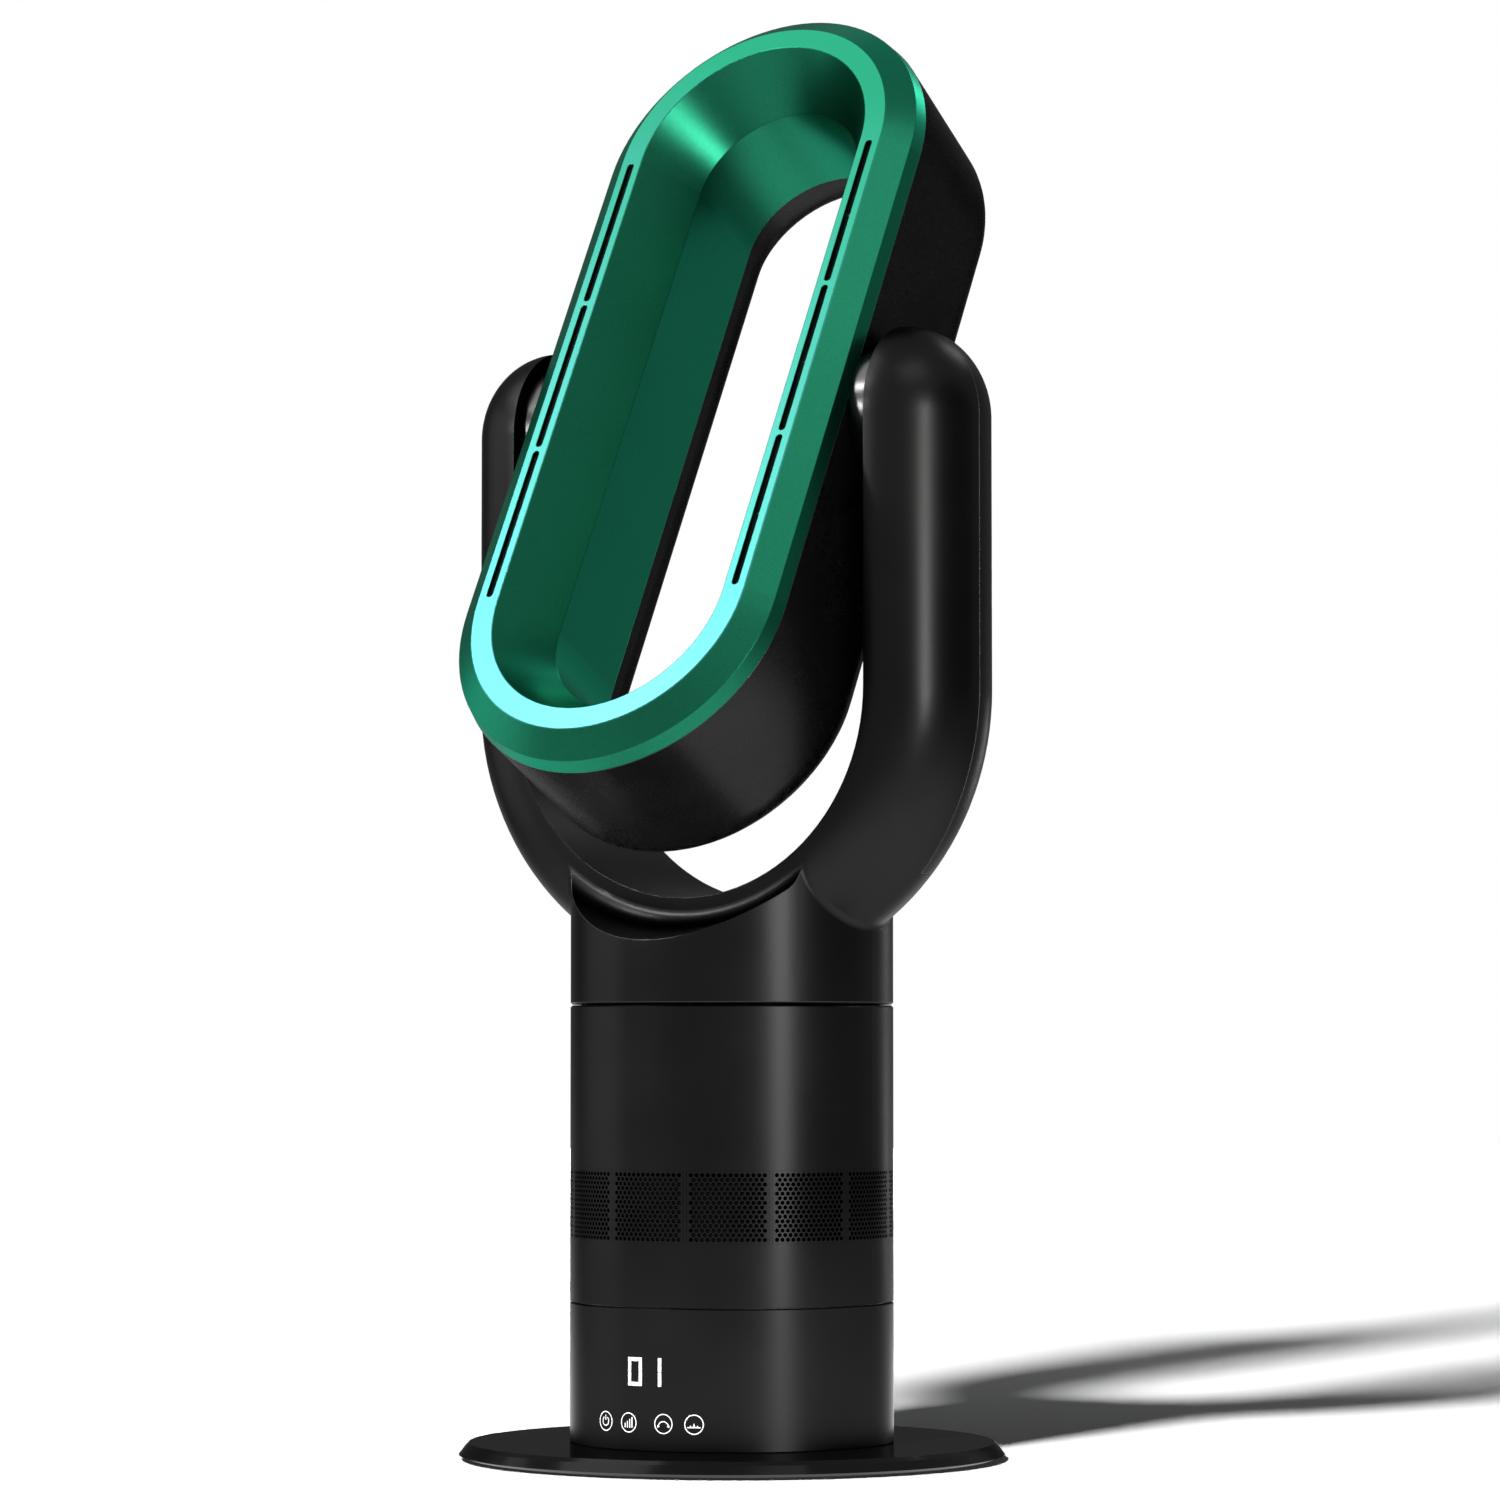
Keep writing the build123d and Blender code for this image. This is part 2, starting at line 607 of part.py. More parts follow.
def display_module():
    depth = TOWER_R
    box = block(MODULE_W, depth, DIGIT_Z - MODULE_H / 2, DIGIT_Z + MODULE_H / 2, 0, BOARD_Y - depth / 2)
    return box & disc(TOWER_IN_R, 0, CONTROL_TOP)


def touch_pads():
    pads = []
    for angle in ICON_ANGLES:
        x = TOWER_IN_R * math.sin(math.radians(angle))
        pads.append(bore_y(PAD_R, -TOWER_R, BOARD_Y, x, ICON_Z) & disc(TOWER_IN_R, 0, CONTROL_TOP))
    return pads


def power_components():
    """Transformer, two capacitors and the header for the lead bundle, on the main board."""
    z = MAIN_BOARD_Z + BOARD_T
    transformer = block(TRANSFORMER_W, TRANSFORMER_D, z, z + TRANSFORMER_H, TRANSFORMER_X, TRANSFORMER_Y)
    capacitors = [Pos(x, y, 0) * disc(radius, z, z + height) for x, y, radius, height in CAPACITORS]
    return [transformer, block(HEADER_W, HEADER_W, z, z + HEADER_H)] + capacitors


def power_inlet():
    nose = bore_y(INLET_R, TOWER_IN_R - 1, TOWER_R - GAP, 0, INLET_Z)
    back = TOWER_IN_R - 1 - INLET_LENGTH
    low, high = INLET_Z - INLET_BODY / 2, INLET_Z + INLET_BODY / 2
    body = block(INLET_BODY + 2, INLET_LENGTH, low, high, 0, back + INLET_LENGTH / 2)
    mouth = TOWER_R - GAP
    hollow = bore_y(INLET_BORE_R, mouth - INLET_DEPTH, mouth, 0, INLET_Z)
    pin = bore_y(INLET_PIN_R, mouth - INLET_DEPTH, mouth - 2, 0, INLET_Z)
    leg = block(INLET_BODY, 4, FLOOR_TOP, low, 0, back + INLET_LENGTH / 2)
    return body + nose + leg - hollow + pin


# ---------------------------------------------------------------- turning joint
def turntable_deck():
    deck = disc(DECK_R, DECK_LOW, DECK_TOP) + disc(DECK_BOSS_R, BOSS_LOW, DECK_LOW)
    deck += motor_posts(GEARMOTOR_EAR_R, GEARMOTOR_TOP, DECK_LOW)
    deck += Pos(TURN_STOP_R, 0, 0) * disc(TURN_STOP_PIN_R, DECK_TOP, TURNTABLE_LOW + TURN_STOP_DEPTH - GAP)
    deck -= disc(SPINDLE_R + RUN, BOSS_LOW, DECK_TOP)
    hole = disc(M3_R + FIT, DECK_LOW, DECK_TOP) + disc(M3_HEAD_R + FIT, DECK_TOP - M3_HEAD_H - FIT, DECK_TOP)
    deck -= at_posts(Pos(SCREW_R, 0, 0) * hole)
    return deck - motor_posts(M3_R, GEARMOTOR_TOP, GEARMOTOR_TOP + 8)


def motor_posts(radius, low, high):
    return [Pos(GEARMOTOR_X, s * GEARMOTOR_EAR, 0) * disc(radius, low, high) for s in (-1, 1)]


def deck_screws():
    top = DECK_TOP - FIT
    one = disc(M3_HEAD_R, top - M3_HEAD_H, top) + disc(M3_R, DECK_LOW - POST_R, top - M3_HEAD_H)
    return at_posts(Pos(SCREW_R, 0, 0) * one)


def thrust_ring():
    return tube(THRUST_R - THRUST_W / 2, THRUST_R + THRUST_W / 2, DECK_TOP, DECK_TOP + THRUST_T)


def oscillation_motor():
    low = GEARMOTOR_TOP - GEARMOTOR_H
    can = Pos(GEARMOTOR_X, 0, 0) * disc(GEARMOTOR_R, low, GEARMOTOR_TOP)
    ears = block(2 * GEARMOTOR_EAR_R, 2 * GEARMOTOR_EAR, GEARMOTOR_TOP - GEARMOTOR_EAR_T, GEARMOTOR_TOP, GEARMOTOR_X)
    tips = motor_posts(GEARMOTOR_EAR_R, GEARMOTOR_TOP - GEARMOTOR_EAR_T, GEARMOTOR_TOP)
    neck = Pos(PINION_X, 0, 0) * disc(2 * GEARMOTOR_SHAFT_R, GEARMOTOR_TOP, GEARMOTOR_TOP + 2 * GAP)
    socket = disc(GEARMOTOR_SHAFT_R + RUN, GEARMOTOR_TOP - SHAFT_IN_MOTOR - GAP, GEAR_LOW)
    motor = can + ears + tips + neck - Pos(PINION_X, 0, 0) * socket
    return motor - motor_posts(M3_R + FIT, GEARMOTOR_TOP - GEARMOTOR_EAR_T, GEARMOTOR_TOP)


def motor_screws():
    under = GEARMOTOR_TOP - GEARMOTOR_EAR_T
    heads = motor_posts(M3_HEAD_R, under - M3_HEAD_H, under)
    shanks = motor_posts(M3_R, under, GEARMOTOR_TOP + 6)
    return [head + shank for head, shank in zip(heads, shanks)]


def tooth_half_angle(radius, pitch_radius):
    """Half of a tooth's angle at a radius, from the involute of a circle."""
    pressure = math.radians(PRESSURE_ANGLE)
    base = pitch_radius * math.cos(pressure)
    here = math.acos(min(1.0, base / radius))
    half_at_pitch = (math.pi * GEAR_MODULE / 2 - BACKLASH) / 2 / pitch_radius
    return half_at_pitch + math.tan(pressure) - pressure - (math.tan(here) - here)


def gear_outline(teeth, turn):
    """Outline of a spur gear; turn is the angle of its first tooth, in degrees."""
    pitch_radius = GEAR_MODULE * teeth / 2
    tip = pitch_radius + ADDENDUM * GEAR_MODULE
    root = pitch_radius - DEDENDUM * GEAR_MODULE
    base = pitch_radius * math.cos(math.radians(PRESSURE_ANGLE))
    low = max(base, root)
    flank = [low, (low + pitch_radius) / 2, pitch_radius, (pitch_radius + tip) / 2, tip]
    points = []
    for i in range(teeth):
        middle = math.radians(turn) + 2 * math.pi * i / teeth
        rising = [(r, middle - tooth_half_angle(r, pitch_radius)) for r in flank]
        falling = [(r, middle + tooth_half_angle(r, pitch_radius)) for r in reversed(flank)]
        foot = tooth_half_angle(low, pitch_radius)
        points += [(root, middle - foot)] + rising + falling + [(root, middle + foot)]
    xy = [(r * math.cos(a), r * math.sin(a)) for r, a in points]
    distinct = [p for i, p in enumerate(xy) if math.dist(p, xy[i - 1]) > 1e-4]
    return make_face(Polyline(*distinct, close=True))


def ring_gear():
    wheel = Pos(0, 0, GEAR_LOW) * extrude(gear_outline(RING_TEETH, 180 / RING_TEETH), GEAR_WIDTH)
    return wheel - disc(SPINDLE_R, GEAR_LOW, GEAR_TOP)


def oscillation_pinion():
    wheel = extrude(gear_outline(PINION_TEETH, 180), GEAR_WIDTH)
    return Pos(PINION_X, 0, GEAR_LOW) * (wheel - disc(GEARMOTOR_SHAFT_R, 0, GEAR_WIDTH))


def pinion_shaft():
    return Pos(PINION_X, 0, 0) * disc(GEARMOTOR_SHAFT_R, GEARMOTOR_TOP - SHAFT_IN_MOTOR, GEAR_TOP)


def turntable():
    plate = disc(TURNTABLE_R, TURNTABLE_LOW, TURNTABLE_TOP)
    body = plate + disc(SPINDLE_R, SPINDLE_LOW, TURNTABLE_LOW)
    body += standoffs(MOTOR_BOARD_W, MOTOR_BOARD_D, TURNTABLE_TOP)
    body -= disc(SPINDLE_IN_R, SPINDLE_LOW, TURNTABLE_TOP)
    body -= tube(SPINDLE_R - 1, SPINDLE_R, GEAR_LOW - CLIP_T, GEAR_LOW)
    pin_angle = math.degrees(math.asin(TURN_STOP_PIN_R / TURN_STOP_R))
    body -= arc_slot(TURN_STOP_R, 2 * (TURN_STOP_PIN_R + GAP), TURN_LIMIT + pin_angle + STOP_PLAY,
                     TURNTABLE_LOW, TURNTABLE_LOW + TURN_STOP_DEPTH)
    hole = disc(M4_R + FIT, TURNTABLE_LOW, TURNTABLE_TOP)
    hole += disc(M4_HEAD_R + FIT, TURNTABLE_LOW, TURNTABLE_LOW + M4_HEAD_H)
    body -= at_posts(Pos(SCREW_R, 0, 0) * hole)
    return body - standoff_holes(MOTOR_BOARD_W, MOTOR_BOARD_D, TURNTABLE_TOP)


def spindle_clip():
    ring = tube(SPINDLE_R - 1, SPINDLE_R + CLIP_W, GEAR_LOW - CLIP_T, GEAR_LOW)
    return ring - block(2 * CLIP_W, TOWER_R, GEAR_LOW - CLIP_T, GEAR_LOW, 0, TOWER_R / 2)


def turntable_screws():
    one = screw(M4_R, M4_HEAD_R, M4_HEAD_H, TURNTABLE_SCREW_L)
    return at_posts(Pos(SCREW_R, 0, TURNTABLE_LOW) * one)


def lead_bundle():
    """Leads from the main board's header up through the hollow spindle to the motor board."""
    low = MAIN_BOARD_Z + BOARD_T + HEADER_H + GAP
    return disc(LEAD_R, low, MOTOR_BOARD_Z)


# ---------------------------------------------------------------- main housing
def window_block(angle, height, inner, outer):
    """A sector of the tower's wall, centred on the front at the windows' height."""
    low, high = WINDOW_Z - height / 2, WINDOW_Z + height / 2
    half = math.radians(angle / 2)
    far = 2 * outer
    wedge = make_face(Polyline((0, 0), (far * math.sin(half), -far * math.cos(half)),
                               (-far * math.sin(half), -far * math.cos(half)), close=True))
    return tube(inner, outer, low, high) & (Pos(0, 0, low) * extrude(wedge, high - low))


def panel_angle():
    return WINDOW_ANGLE + 2 * math.degrees(PANEL_LAP / TOWER_R)


def intake_grilles():
    """Perforated panels, drilled straight through from outside, one in each window."""
    height = WINDOW_H + 2 * PANEL_LAP
    panel = window_block(panel_angle(), height, TOWER_R - PANEL_T, TOWER_R)
    width = 2 * TOWER_R * math.sin(math.radians(WINDOW_ANGLE / 2))
    pitch_x = width / (HOLE_COLUMNS + 0.5)
    pitch_z = WINDOW_H / HOLE_ROWS
    radius = HOLE_SHARE * min(pitch_x, pitch_z) / 2
    for row in range(HOLE_ROWS):
        z = WINDOW_Z + (row - (HOLE_ROWS - 1) / 2) * pitch_z
        stagger = pitch_x / 4 * (1 if row % 2 else -1)
        xs = [(c - (HOLE_COLUMNS - 1) / 2) * pitch_x + stagger for c in range(HOLE_COLUMNS)]
        panel -= [bore_y(radius, -FAR, 0, x, z) for x in xs]
    return around(panel, WINDOW_COUNT)


def main_housing():
    shell = tube(TOWER_IN_R, TOWER_R, HOUSING_LOW, HOUSING_TOP)
    rims = shell.edges().filter_by(GeomType.CIRCLE).filter_by(lambda e: e.radius > TOWER_IN_R + 1)
    shell = chamfer(rims.sort_by(Axis.Z)[-1:], BREAK)
    high = TURNTABLE_TOP + POST_H
    post = Pos(SCREW_R, 0, 0) * disc(POST_R, TURNTABLE_TOP, high) + web(SCREW_R, TURNTABLE_TOP, high)
    post -= Pos(SCREW_R, 0, 0) * disc(M4_R, TURNTABLE_TOP, high - SCREW_BLIND)
    lower = tube(TOWER_IN_R - LEDGE_W, TOWER_IN_R, INLET_RING_Z - LEDGE_H, INLET_RING_Z)
    upper = tube(BUCKET_R + BUCKET_WALL + GAP, TOWER_IN_R, LEDGE_TOP - HOUSING_LEDGE_T, LEDGE_TOP)
    shell += [lower, upper]
    shell += at_posts(post)
    shell -= at_posts(Pos(YOKE_SCREW_R, 0, 0) * disc(M4_R + FIT, LEDGE_TOP - HOUSING_LEDGE_T, LEDGE_TOP))
    window = window_block(WINDOW_ANGLE, WINDOW_H, TOWER_IN_R - 1, TOWER_R + 1)
    seat = window_block(panel_angle(), WINDOW_H + 2 * PANEL_LAP, TOWER_R - PANEL_T, TOWER_R + 1)
    return shell - around(window + seat, WINDOW_COUNT)


def dust_screen():
    """Foam sleeve behind the windows, between the posts' webs and the ledge of the inlet ring."""
    outer = TOWER_IN_R - FIT
    return tube(outer - SCREEN_T, outer, TURNTABLE_TOP + POST_H, INLET_RING_Z - LEDGE_H)


# ---------------------------------------------------------------- air mover
def quarter_arc(radius):
    """Quarter circle in the XZ plane, from below the inlet lip's centre round to its throat side."""
    x, z = THROAT_R + LIP_R, INLET_RING_Z + LIP_R
    slant = radius * math.sqrt(0.5)
    return ThreePointArc((x, 0, z - radius), (x - slant, 0, z - slant), (x - radius, 0, z))


def inlet_ring():
    """Bellmouth: a flat ring that rolls up into the impeller's throat."""
    flat = tube(THROAT_R + LIP_R, TOWER_IN_R - FIT, INLET_RING_Z, INLET_RING_Z + INLET_RING_T)
    under, over = quarter_arc(LIP_R), quarter_arc(LIP_R - INLET_RING_T)
    lip = make_face([under, Line(under @ 1, over @ 1), over, Line(over @ 0, under @ 0)])
    return flat + revolve(lip, Axis.Z, 360)


def bucket_seal():
    top = INLET_RING_Z + INLET_RING_T
    return tube(BUCKET_R, BUCKET_R + 2 * BUCKET_WALL, top, BUCKET_LOW)


def motor_bucket():
    body = tube(BUCKET_R, BUCKET_R + BUCKET_WALL, BUCKET_LOW, BUCKET_TOP)
    body += tube(BUCKET_R, FLANGE_R, BUCKET_TOP - FLANGE_T, BUCKET_TOP)
    return body - at_posts(Pos(YOKE_SCREW_R, 0, 0) * disc(M4_R + FIT, LEDGE_TOP, BUCKET_TOP))


def isolation_ring():
    ring = tube(BUCKET_R + 2 * BUCKET_WALL, FLANGE_R, LEDGE_TOP, LEDGE_TOP + ISOLATOR_T)
    return ring - at_posts(Pos(YOKE_SCREW_R, 0, 0) * disc(M4_R + FIT, LEDGE_TOP, BUCKET_TOP))


def pitched_blade(thickness, pitch, length, low, high):
    """A flat blade standing out along +X, pitched about its own length."""
    tall = 2 * (high - low)
    plate = Pos(length / 2, 0, 0) * Box(length, thickness, tall)
    return Pos(0, 0, (low + high) / 2) * (Rot(pitch, 0, 0) * plate)


def diffuser():
    outer = tube(BUCKET_R - VANE_T, BUCKET_R, HUB_LOW, HUB_TOP)
    hub = tube(HUB_R - HUB_WALL, HUB_R, HUB_LOW, HUB_TOP)
    roof = disc(HUB_R, HUB_TOP - HUB_ROOF, HUB_TOP)
    seat = disc(BEARING_R + HUB_WALL, HUB_TOP - HUB_ROOF - BEARING_T, HUB_TOP)
    passage = tube(HUB_R - HUB_WALL / 2, BUCKET_R - VANE_T / 2, HUB_LOW, HUB_TOP)
    vane = pitched_blade(VANE_T, VANE_PITCH, BUCKET_R, HUB_LOW, HUB_TOP) & passage
    body = outer + hub + roof + seat
    body += around(vane, VANE_COUNT)
    return body - disc(BEARING_R, HUB_TOP - HUB_ROOF - BEARING_T, HUB_TOP - HUB_ROOF)


def motor_cap():
    cap = disc(HUB_R - HUB_WALL, HUB_LOW, CAP_TOP) + disc(BEARING_R + HUB_WALL, CAP_TOP, CAP_TOP + 2)
    cap -= disc(BEARING_R, CAP_TOP + 2 - BEARING_T, CAP_TOP + 2)
    return cap - disc(SHAFT_R + GAP, HUB_LOW, CAP_TOP)


def motor_bearings():
    high = HUB_TOP - HUB_ROOF
    low = CAP_TOP + 2
    return [tube(SHAFT_R + RUN, BEARING_R, z - BEARING_T, z) for z in (low, high)]


def motor_stator():
    low = CAP_TOP + 2
    high = HUB_TOP - HUB_ROOF - BEARING_T
    return tube(STATOR_BORE_R, HUB_R - HUB_WALL, low, min(low + STATOR_H, high))


def rotor_magnet():
    low = CAP_TOP + 2 + GAP
    high = HUB_TOP - HUB_ROOF - BEARING_T - GAP
    return tube(SHAFT_R, ROTOR_R, low, high)


def impeller_shaft():
    return disc(SHAFT_R, IMPELLER_LOW - NUT_H, HUB_TOP - HUB_ROOF - GAP)


def impeller_nut():
    nut = Pos(0, 0, IMPELLER_LOW - NUT_H) * extrude(RegularPolygon(NUT_R, 6), NUT_H)
    return nut - disc(SHAFT_R, IMPELLER_LOW - NUT_H, IMPELLER_LOW)


def impeller():
    low, high = IMPELLER_LOW, IMPELLER_LOW + IMPELLER_H
    skin = IMPELLER_SKIN
    cone = lathe((0, low), (IMPELLER_NOSE_R, low), (IMPELLER_BACK_R, high), (0, high))
    hollow = lathe((0, low + skin), (IMPELLER_NOSE_R - skin, low + skin), (IMPELLER_BACK_R - 1.5 * skin, high), (0, high))
    sweep = disc(IMPELLER_R, low, high) - lathe(
        (0, low), (IMPELLER_NOSE_R - 1, low), (IMPELLER_BACK_R - 1, high), (0, high))
    blade = pitched_blade(BLADE_T, BLADE_PITCH, IMPELLER_R, low, high) & sweep
    body = cone + around(blade, BLADE_COUNT)
    body = body - hollow + disc(IMPELLER_BOSS_R, low, high)
    return body - disc(SHAFT_R, low, high)


# ---------------------------------------------------------------- yoke
def arm_section(inset):
    """D-shaped section of the right arm, flat face inward, with X outward and Y to the back."""
    depth = YOKE_DEPTH - 2 * inset
    whole = Pos(YOKE_R + inset, 0) * Ellipse(depth, YOKE_HALF - inset)
    return whole & Pos(YOKE_R + inset + depth, 0) * Rectangle(2 * depth, 4 * YOKE_HALF)


def fork(inset):
    """The bend, both arms and their rounded tops, drawn inward by the inset."""
    face = arm_section(inset)
    bend = revolve(Pos(0, 0, BEND_Z) * face, Axis((0, 0, BEND_Z), (0, 1, 0)), 180)
    arm = extrude(Pos(0, 0, BEND_Z) * face, PIVOT_Z - BEND_Z)
    back_half = face & Pos(YOKE_R + YOKE_DEPTH, 2 * YOKE_HALF) * Rectangle(4 * YOKE_DEPTH, 4 * YOKE_HALF)
    top = revolve(Pos(0, 0, PIVOT_Z) * back_half, Axis((0, 0, PIVOT_Z), (1, 0, 0)), 180)
    return bend + both_sides(arm + top)


def shoulder_radius(y, inset):
    slope = SHOULDER_RISE / (TOWER_R - YOKE_HALF)
    return SHOULDER_R - slope * (TOWER_R - y) + inset


def shoulder(inset, low):
    """Top of the tower, dished to meet the bend, with its concave rounding."""
    wide = TOWER_R + POST_R
    foot = YOKE_HALF - SHOULDER_BITE
    deep = 2 * YOKE_R
    near, inner = shoulder_radius(wide, inset), shoulder_radius(foot, inset)
    slab = make_face(Polyline((near, -wide), (deep, -wide), (deep, wide), (near, wide),
                              (inner, foot), (inner, -foot), close=True))
    face = slab + arm_section(inset + SHOULDER_SINK)
    corners = [v for v in face.vertices() if foot < abs(v.Y) < YOKE_HALF and v.X > YOKE_R + SHOULDER_BITE]
    if inset == 0:
        face = fillet(corners, SHOULDER_FILLET)
    dished = revolve(Pos(0, 0, BEND_Z) * face, Axis((0, 0, BEND_Z), (0, 1, 0)), 180)
    return dished & disc(TOWER_R - inset, low, BEND_Z)


def yoke_outside():
    body = fork(0) + shoulder(0, YOKE_LOW)
    meets = [e for e in body.edges() if e.geom_type == GeomType.BSPLINE]
    meets = [e for e in meets if abs(e.center().X) > TOWER_R * 0.85 and abs(e.center().Y) < YOKE_HALF * 0.8]
    body = fillet(meets, JUNCTION_FILLET)
    rim = body.edges().filter_by(GeomType.CIRCLE).sort_by(Axis.Z)[:1]
    return chamfer(rim, BREAK)


def seam_bores(radius, y_from, y_to):
    return [bore_y(radius, y_from, y_to, s * SEAM_SCREW_X, BEND_Z + z) for s in (-1, 1) for z in SEAM_SCREW_RISES]


def whole_yoke():
    hollow = fork(YOKE_WALL) + shoulder(YOKE_WALL, YOKE_LOW - YOKE_POST_H)
    outside = yoke_outside()
    body = outside - hollow
    posts = [p & outside for p in seam_bores(SEAM_POST_R, -YOKE_HALF, YOKE_HALF)]
    body += posts
    low = BUCKET_TOP
    post = Pos(YOKE_SCREW_R, 0, 0) * disc(YOKE_POST_R, low, low + YOKE_POST_H)
    body += at_posts(post + web(YOKE_SCREW_R, YOKE_LOW, low + YOKE_POST_H))
    body -= at_posts(Pos(YOKE_SCREW_R, 0, 0) * disc(M4_R, low, low + YOKE_POST_H - SCREW_BLIND))
    body -= both_sides(bore_x(TRUNNION_R + BUSH_W, YOKE_R - 1, YOKE_FACE_X + 1, 0, PIVOT_Z))
    body -= seam_bores(M3_R, -YOKE_HALF / 2, YOKE_HALF)
    return body - seam_bores(M3_HEAD_R + FIT, SEAM_HEAD_Y, YOKE_HALF + 1)


def cover_space(y_from):
    """Where the arms' back covers go: behind a plane, and above a cut square to the bend."""
    reach = 2 * YOKE_R
    a = math.radians(COVER_ANGLE)
    outline = xz_face((0, BEND_Z), (reach * math.cos(a), BEND_Z - reach * math.sin(a)),
                      (reach, PIVOT_Z + 2 * YOKE_HALF), (0, PIVOT_Z + 2 * YOKE_HALF))
    return Pos(0, y_from, 0) * extrude(outline, YOKE_HALF + 1, dir=(0, 1, 0))


def yoke_shells():
    body = whole_yoke()
    front = body - both_sides(cover_space(0))
    covers = Pos(0, 0, YOKE_SPLIT) * cover_space(YOKE_SPLIT)
    return front, [body & cover for cover in both_sides(covers)]


def yoke_screws():
    length = BUCKET_TOP - LEDGE_TOP + HOUSING_LEDGE_T + YOKE_POST_H - 4
    one = screw(M4_R, M4_HEAD_R, M4_HEAD_H, length)
    return at_posts(Pos(YOKE_SCREW_R, 0, LEDGE_TOP - HOUSING_LEDGE_T - M4_HEAD_H) * one)


def seam_screws():
    heads = seam_bores(M3_HEAD_R, SEAM_HEAD_Y, SEAM_HEAD_Y + M3_HEAD_H)
    shanks = seam_bores(M3_R, -YOKE_HALF / 2 + 1, SEAM_HEAD_Y)
    return [head + shank for head, shank in zip(heads, shanks)]


# ---------------------------------------------------------------- air ring
def ring_from(face):
    """Carries a section (X across, Z forward) round the oval, then leans it back into place."""
    side = extrude(Pos(0, -RING_HALF, 0) * face, 2 * RING_HALF, dir=(0, 1, 0))
    end = revolve(Pos(0, RING_HALF, 0) * face, Axis((0, RING_HALF, 0), (0, 0, 1)), 180)
    sides = both_sides(side)
    ends = [end, mirror(end, Plane.XZ)]
    return RING_PLANE.location * (Part() + sides + ends)


def xz_face(*points):
    return make_face(Polyline(*[(x, 0, z) for x, z in points], close=True))


def drawn_in(points, inset):
    """An open outline moved to the right of its direction; its two ends move straight across."""
    moved = [(points[0][0] + inset, points[0][1])]
    for before, here, after in zip(points, points[1:], points[2:]):
        first, second = right_normal(before, here), right_normal(here, after)
        scale = inset / (1 + first[0] * second[0] + first[1] * second[1])
        moved.append((here[0] + scale * (first[0] + second[0]), here[1] + scale * (first[1] + second[1])))
    return moved + [(points[-1][0] - inset, points[-1][1])]


def right_normal(start, end):
    length = math.dist(start, end)
    return (end[1] - start[1]) / length, (start[0] - end[0]) / length


def ring_section(inset):
    """Outline of the ring's hollow section, drawn inward by the inset."""
    path = drawn_in([(THROUGH_R, -ROUND_W), (NECK_R, -NECK_W), (LIP_IN_R, 0), (LIP_OUT_R, 0),
                     (CHAMFER_R, -CHAMFER_W), (BELT_R, -BELT_W), (BACK_R, -ROUND_W)], inset)
    front = Polyline(*[(x, 0, z) for x, z in path])
    back = ThreePointArc(front @ 1, (BACK_R - ROUND_R, 0, inset - RING_DEPTH), front @ 0)
    return make_face([front, back])


def wall_section():
    return ring_section(0) - ring_section(RING_WALL)


def front_bezel():
    keep = xz_face((LIP_IN_R, 0), (SLOT_R, -CHAMFER_W), (SLOT_R, -BELT_W), (2 * BELT_R, -BELT_W), (2 * BELT_R, 5),
                   (LIP_IN_R, 5))
    bezel = ring_from(wall_section() & keep)
    slot = Rot(0, 0, 90) * SlotOverall(SLOT_LENGTH, SLOT_W)
    step = SLOT_LENGTH + SLOT_SPACE
    spots = [(s * SLOT_R, (i - (SLOT_COUNT - 1) / 2) * step) for s in (-1, 1) for i in range(SLOT_COUNT)]
    cut = extrude(Sketch() + [Pos(x, y) * slot for x, y in spots], -2 * RING_WALL)
    return bezel - RING_PLANE.location * cut


def inner_duct():
    keep = xz_face((LIP_IN_R, 0), (SLOT_R, -CHAMFER_W), (SLOT_R, -DUCT_W), (0, -DUCT_W), (0, 5), (LIP_IN_R, 5))
    return ring_from(wall_section() & keep)


def rear_shell():
    deep = -2 * RING_DEPTH
    keep = xz_face((SLOT_R, -BELT_W), (2 * BELT_R, -BELT_W), (2 * BELT_R, deep), (0, deep), (0, -DUCT_W),
                   (SLOT_R, -DUCT_W))
    shell = ring_from(wall_section() & keep)
    holes = both_sides(bore_x(TRUNNION_R, THROUGH_R + 2 * RING_WALL, BELT_R + 1, 0, PIVOT_Z))
    return shell - holes - trunnion_bores(M3_R + FIT, BACK_R - 2 * RING_WALL, BELT_R + 1)


def nozzle_strips():
    """A channel behind each row of slots, with a cross rib at the middle of each slot."""
    long = SLOT_COUNT * SLOT_LENGTH + (SLOT_COUNT - 1) * SLOT_SPACE + 2 * STRIP_WALL
    wide = SLOT_W + 2 * STRIP_WALL
    low, high = -RING_WALL - STRIP_H, -RING_WALL
    channel = block(wide, long, low, high) - block(SLOT_W, long - 2 * STRIP_WALL, low, high)
    step = SLOT_LENGTH + SLOT_SPACE
    for i in range(SLOT_COUNT):
        y = (i - (SLOT_COUNT - 1) / 2) * step
        channel += block(SLOT_W, STRIP_RIB, low, high - STRIP_RIB_DROP, 0, y)
    return [RING_PLANE.location * (Pos(s * SLOT_R, 0, 0) * channel) for s in (-1, 1)]


def loop_gasket():
    out = BELT_R - RING_WALL - FIT
    mid = -BELT_W
    return ring_from(xz_face((out - GASKET_W, mid - GASKET_H / 2), (out - FIT, mid - GASKET_H / 2),
                             (out - FIT, mid), (out - FIT, mid + GASKET_H / 2),
                             (out - GASKET_W, mid + GASKET_H / 2)))


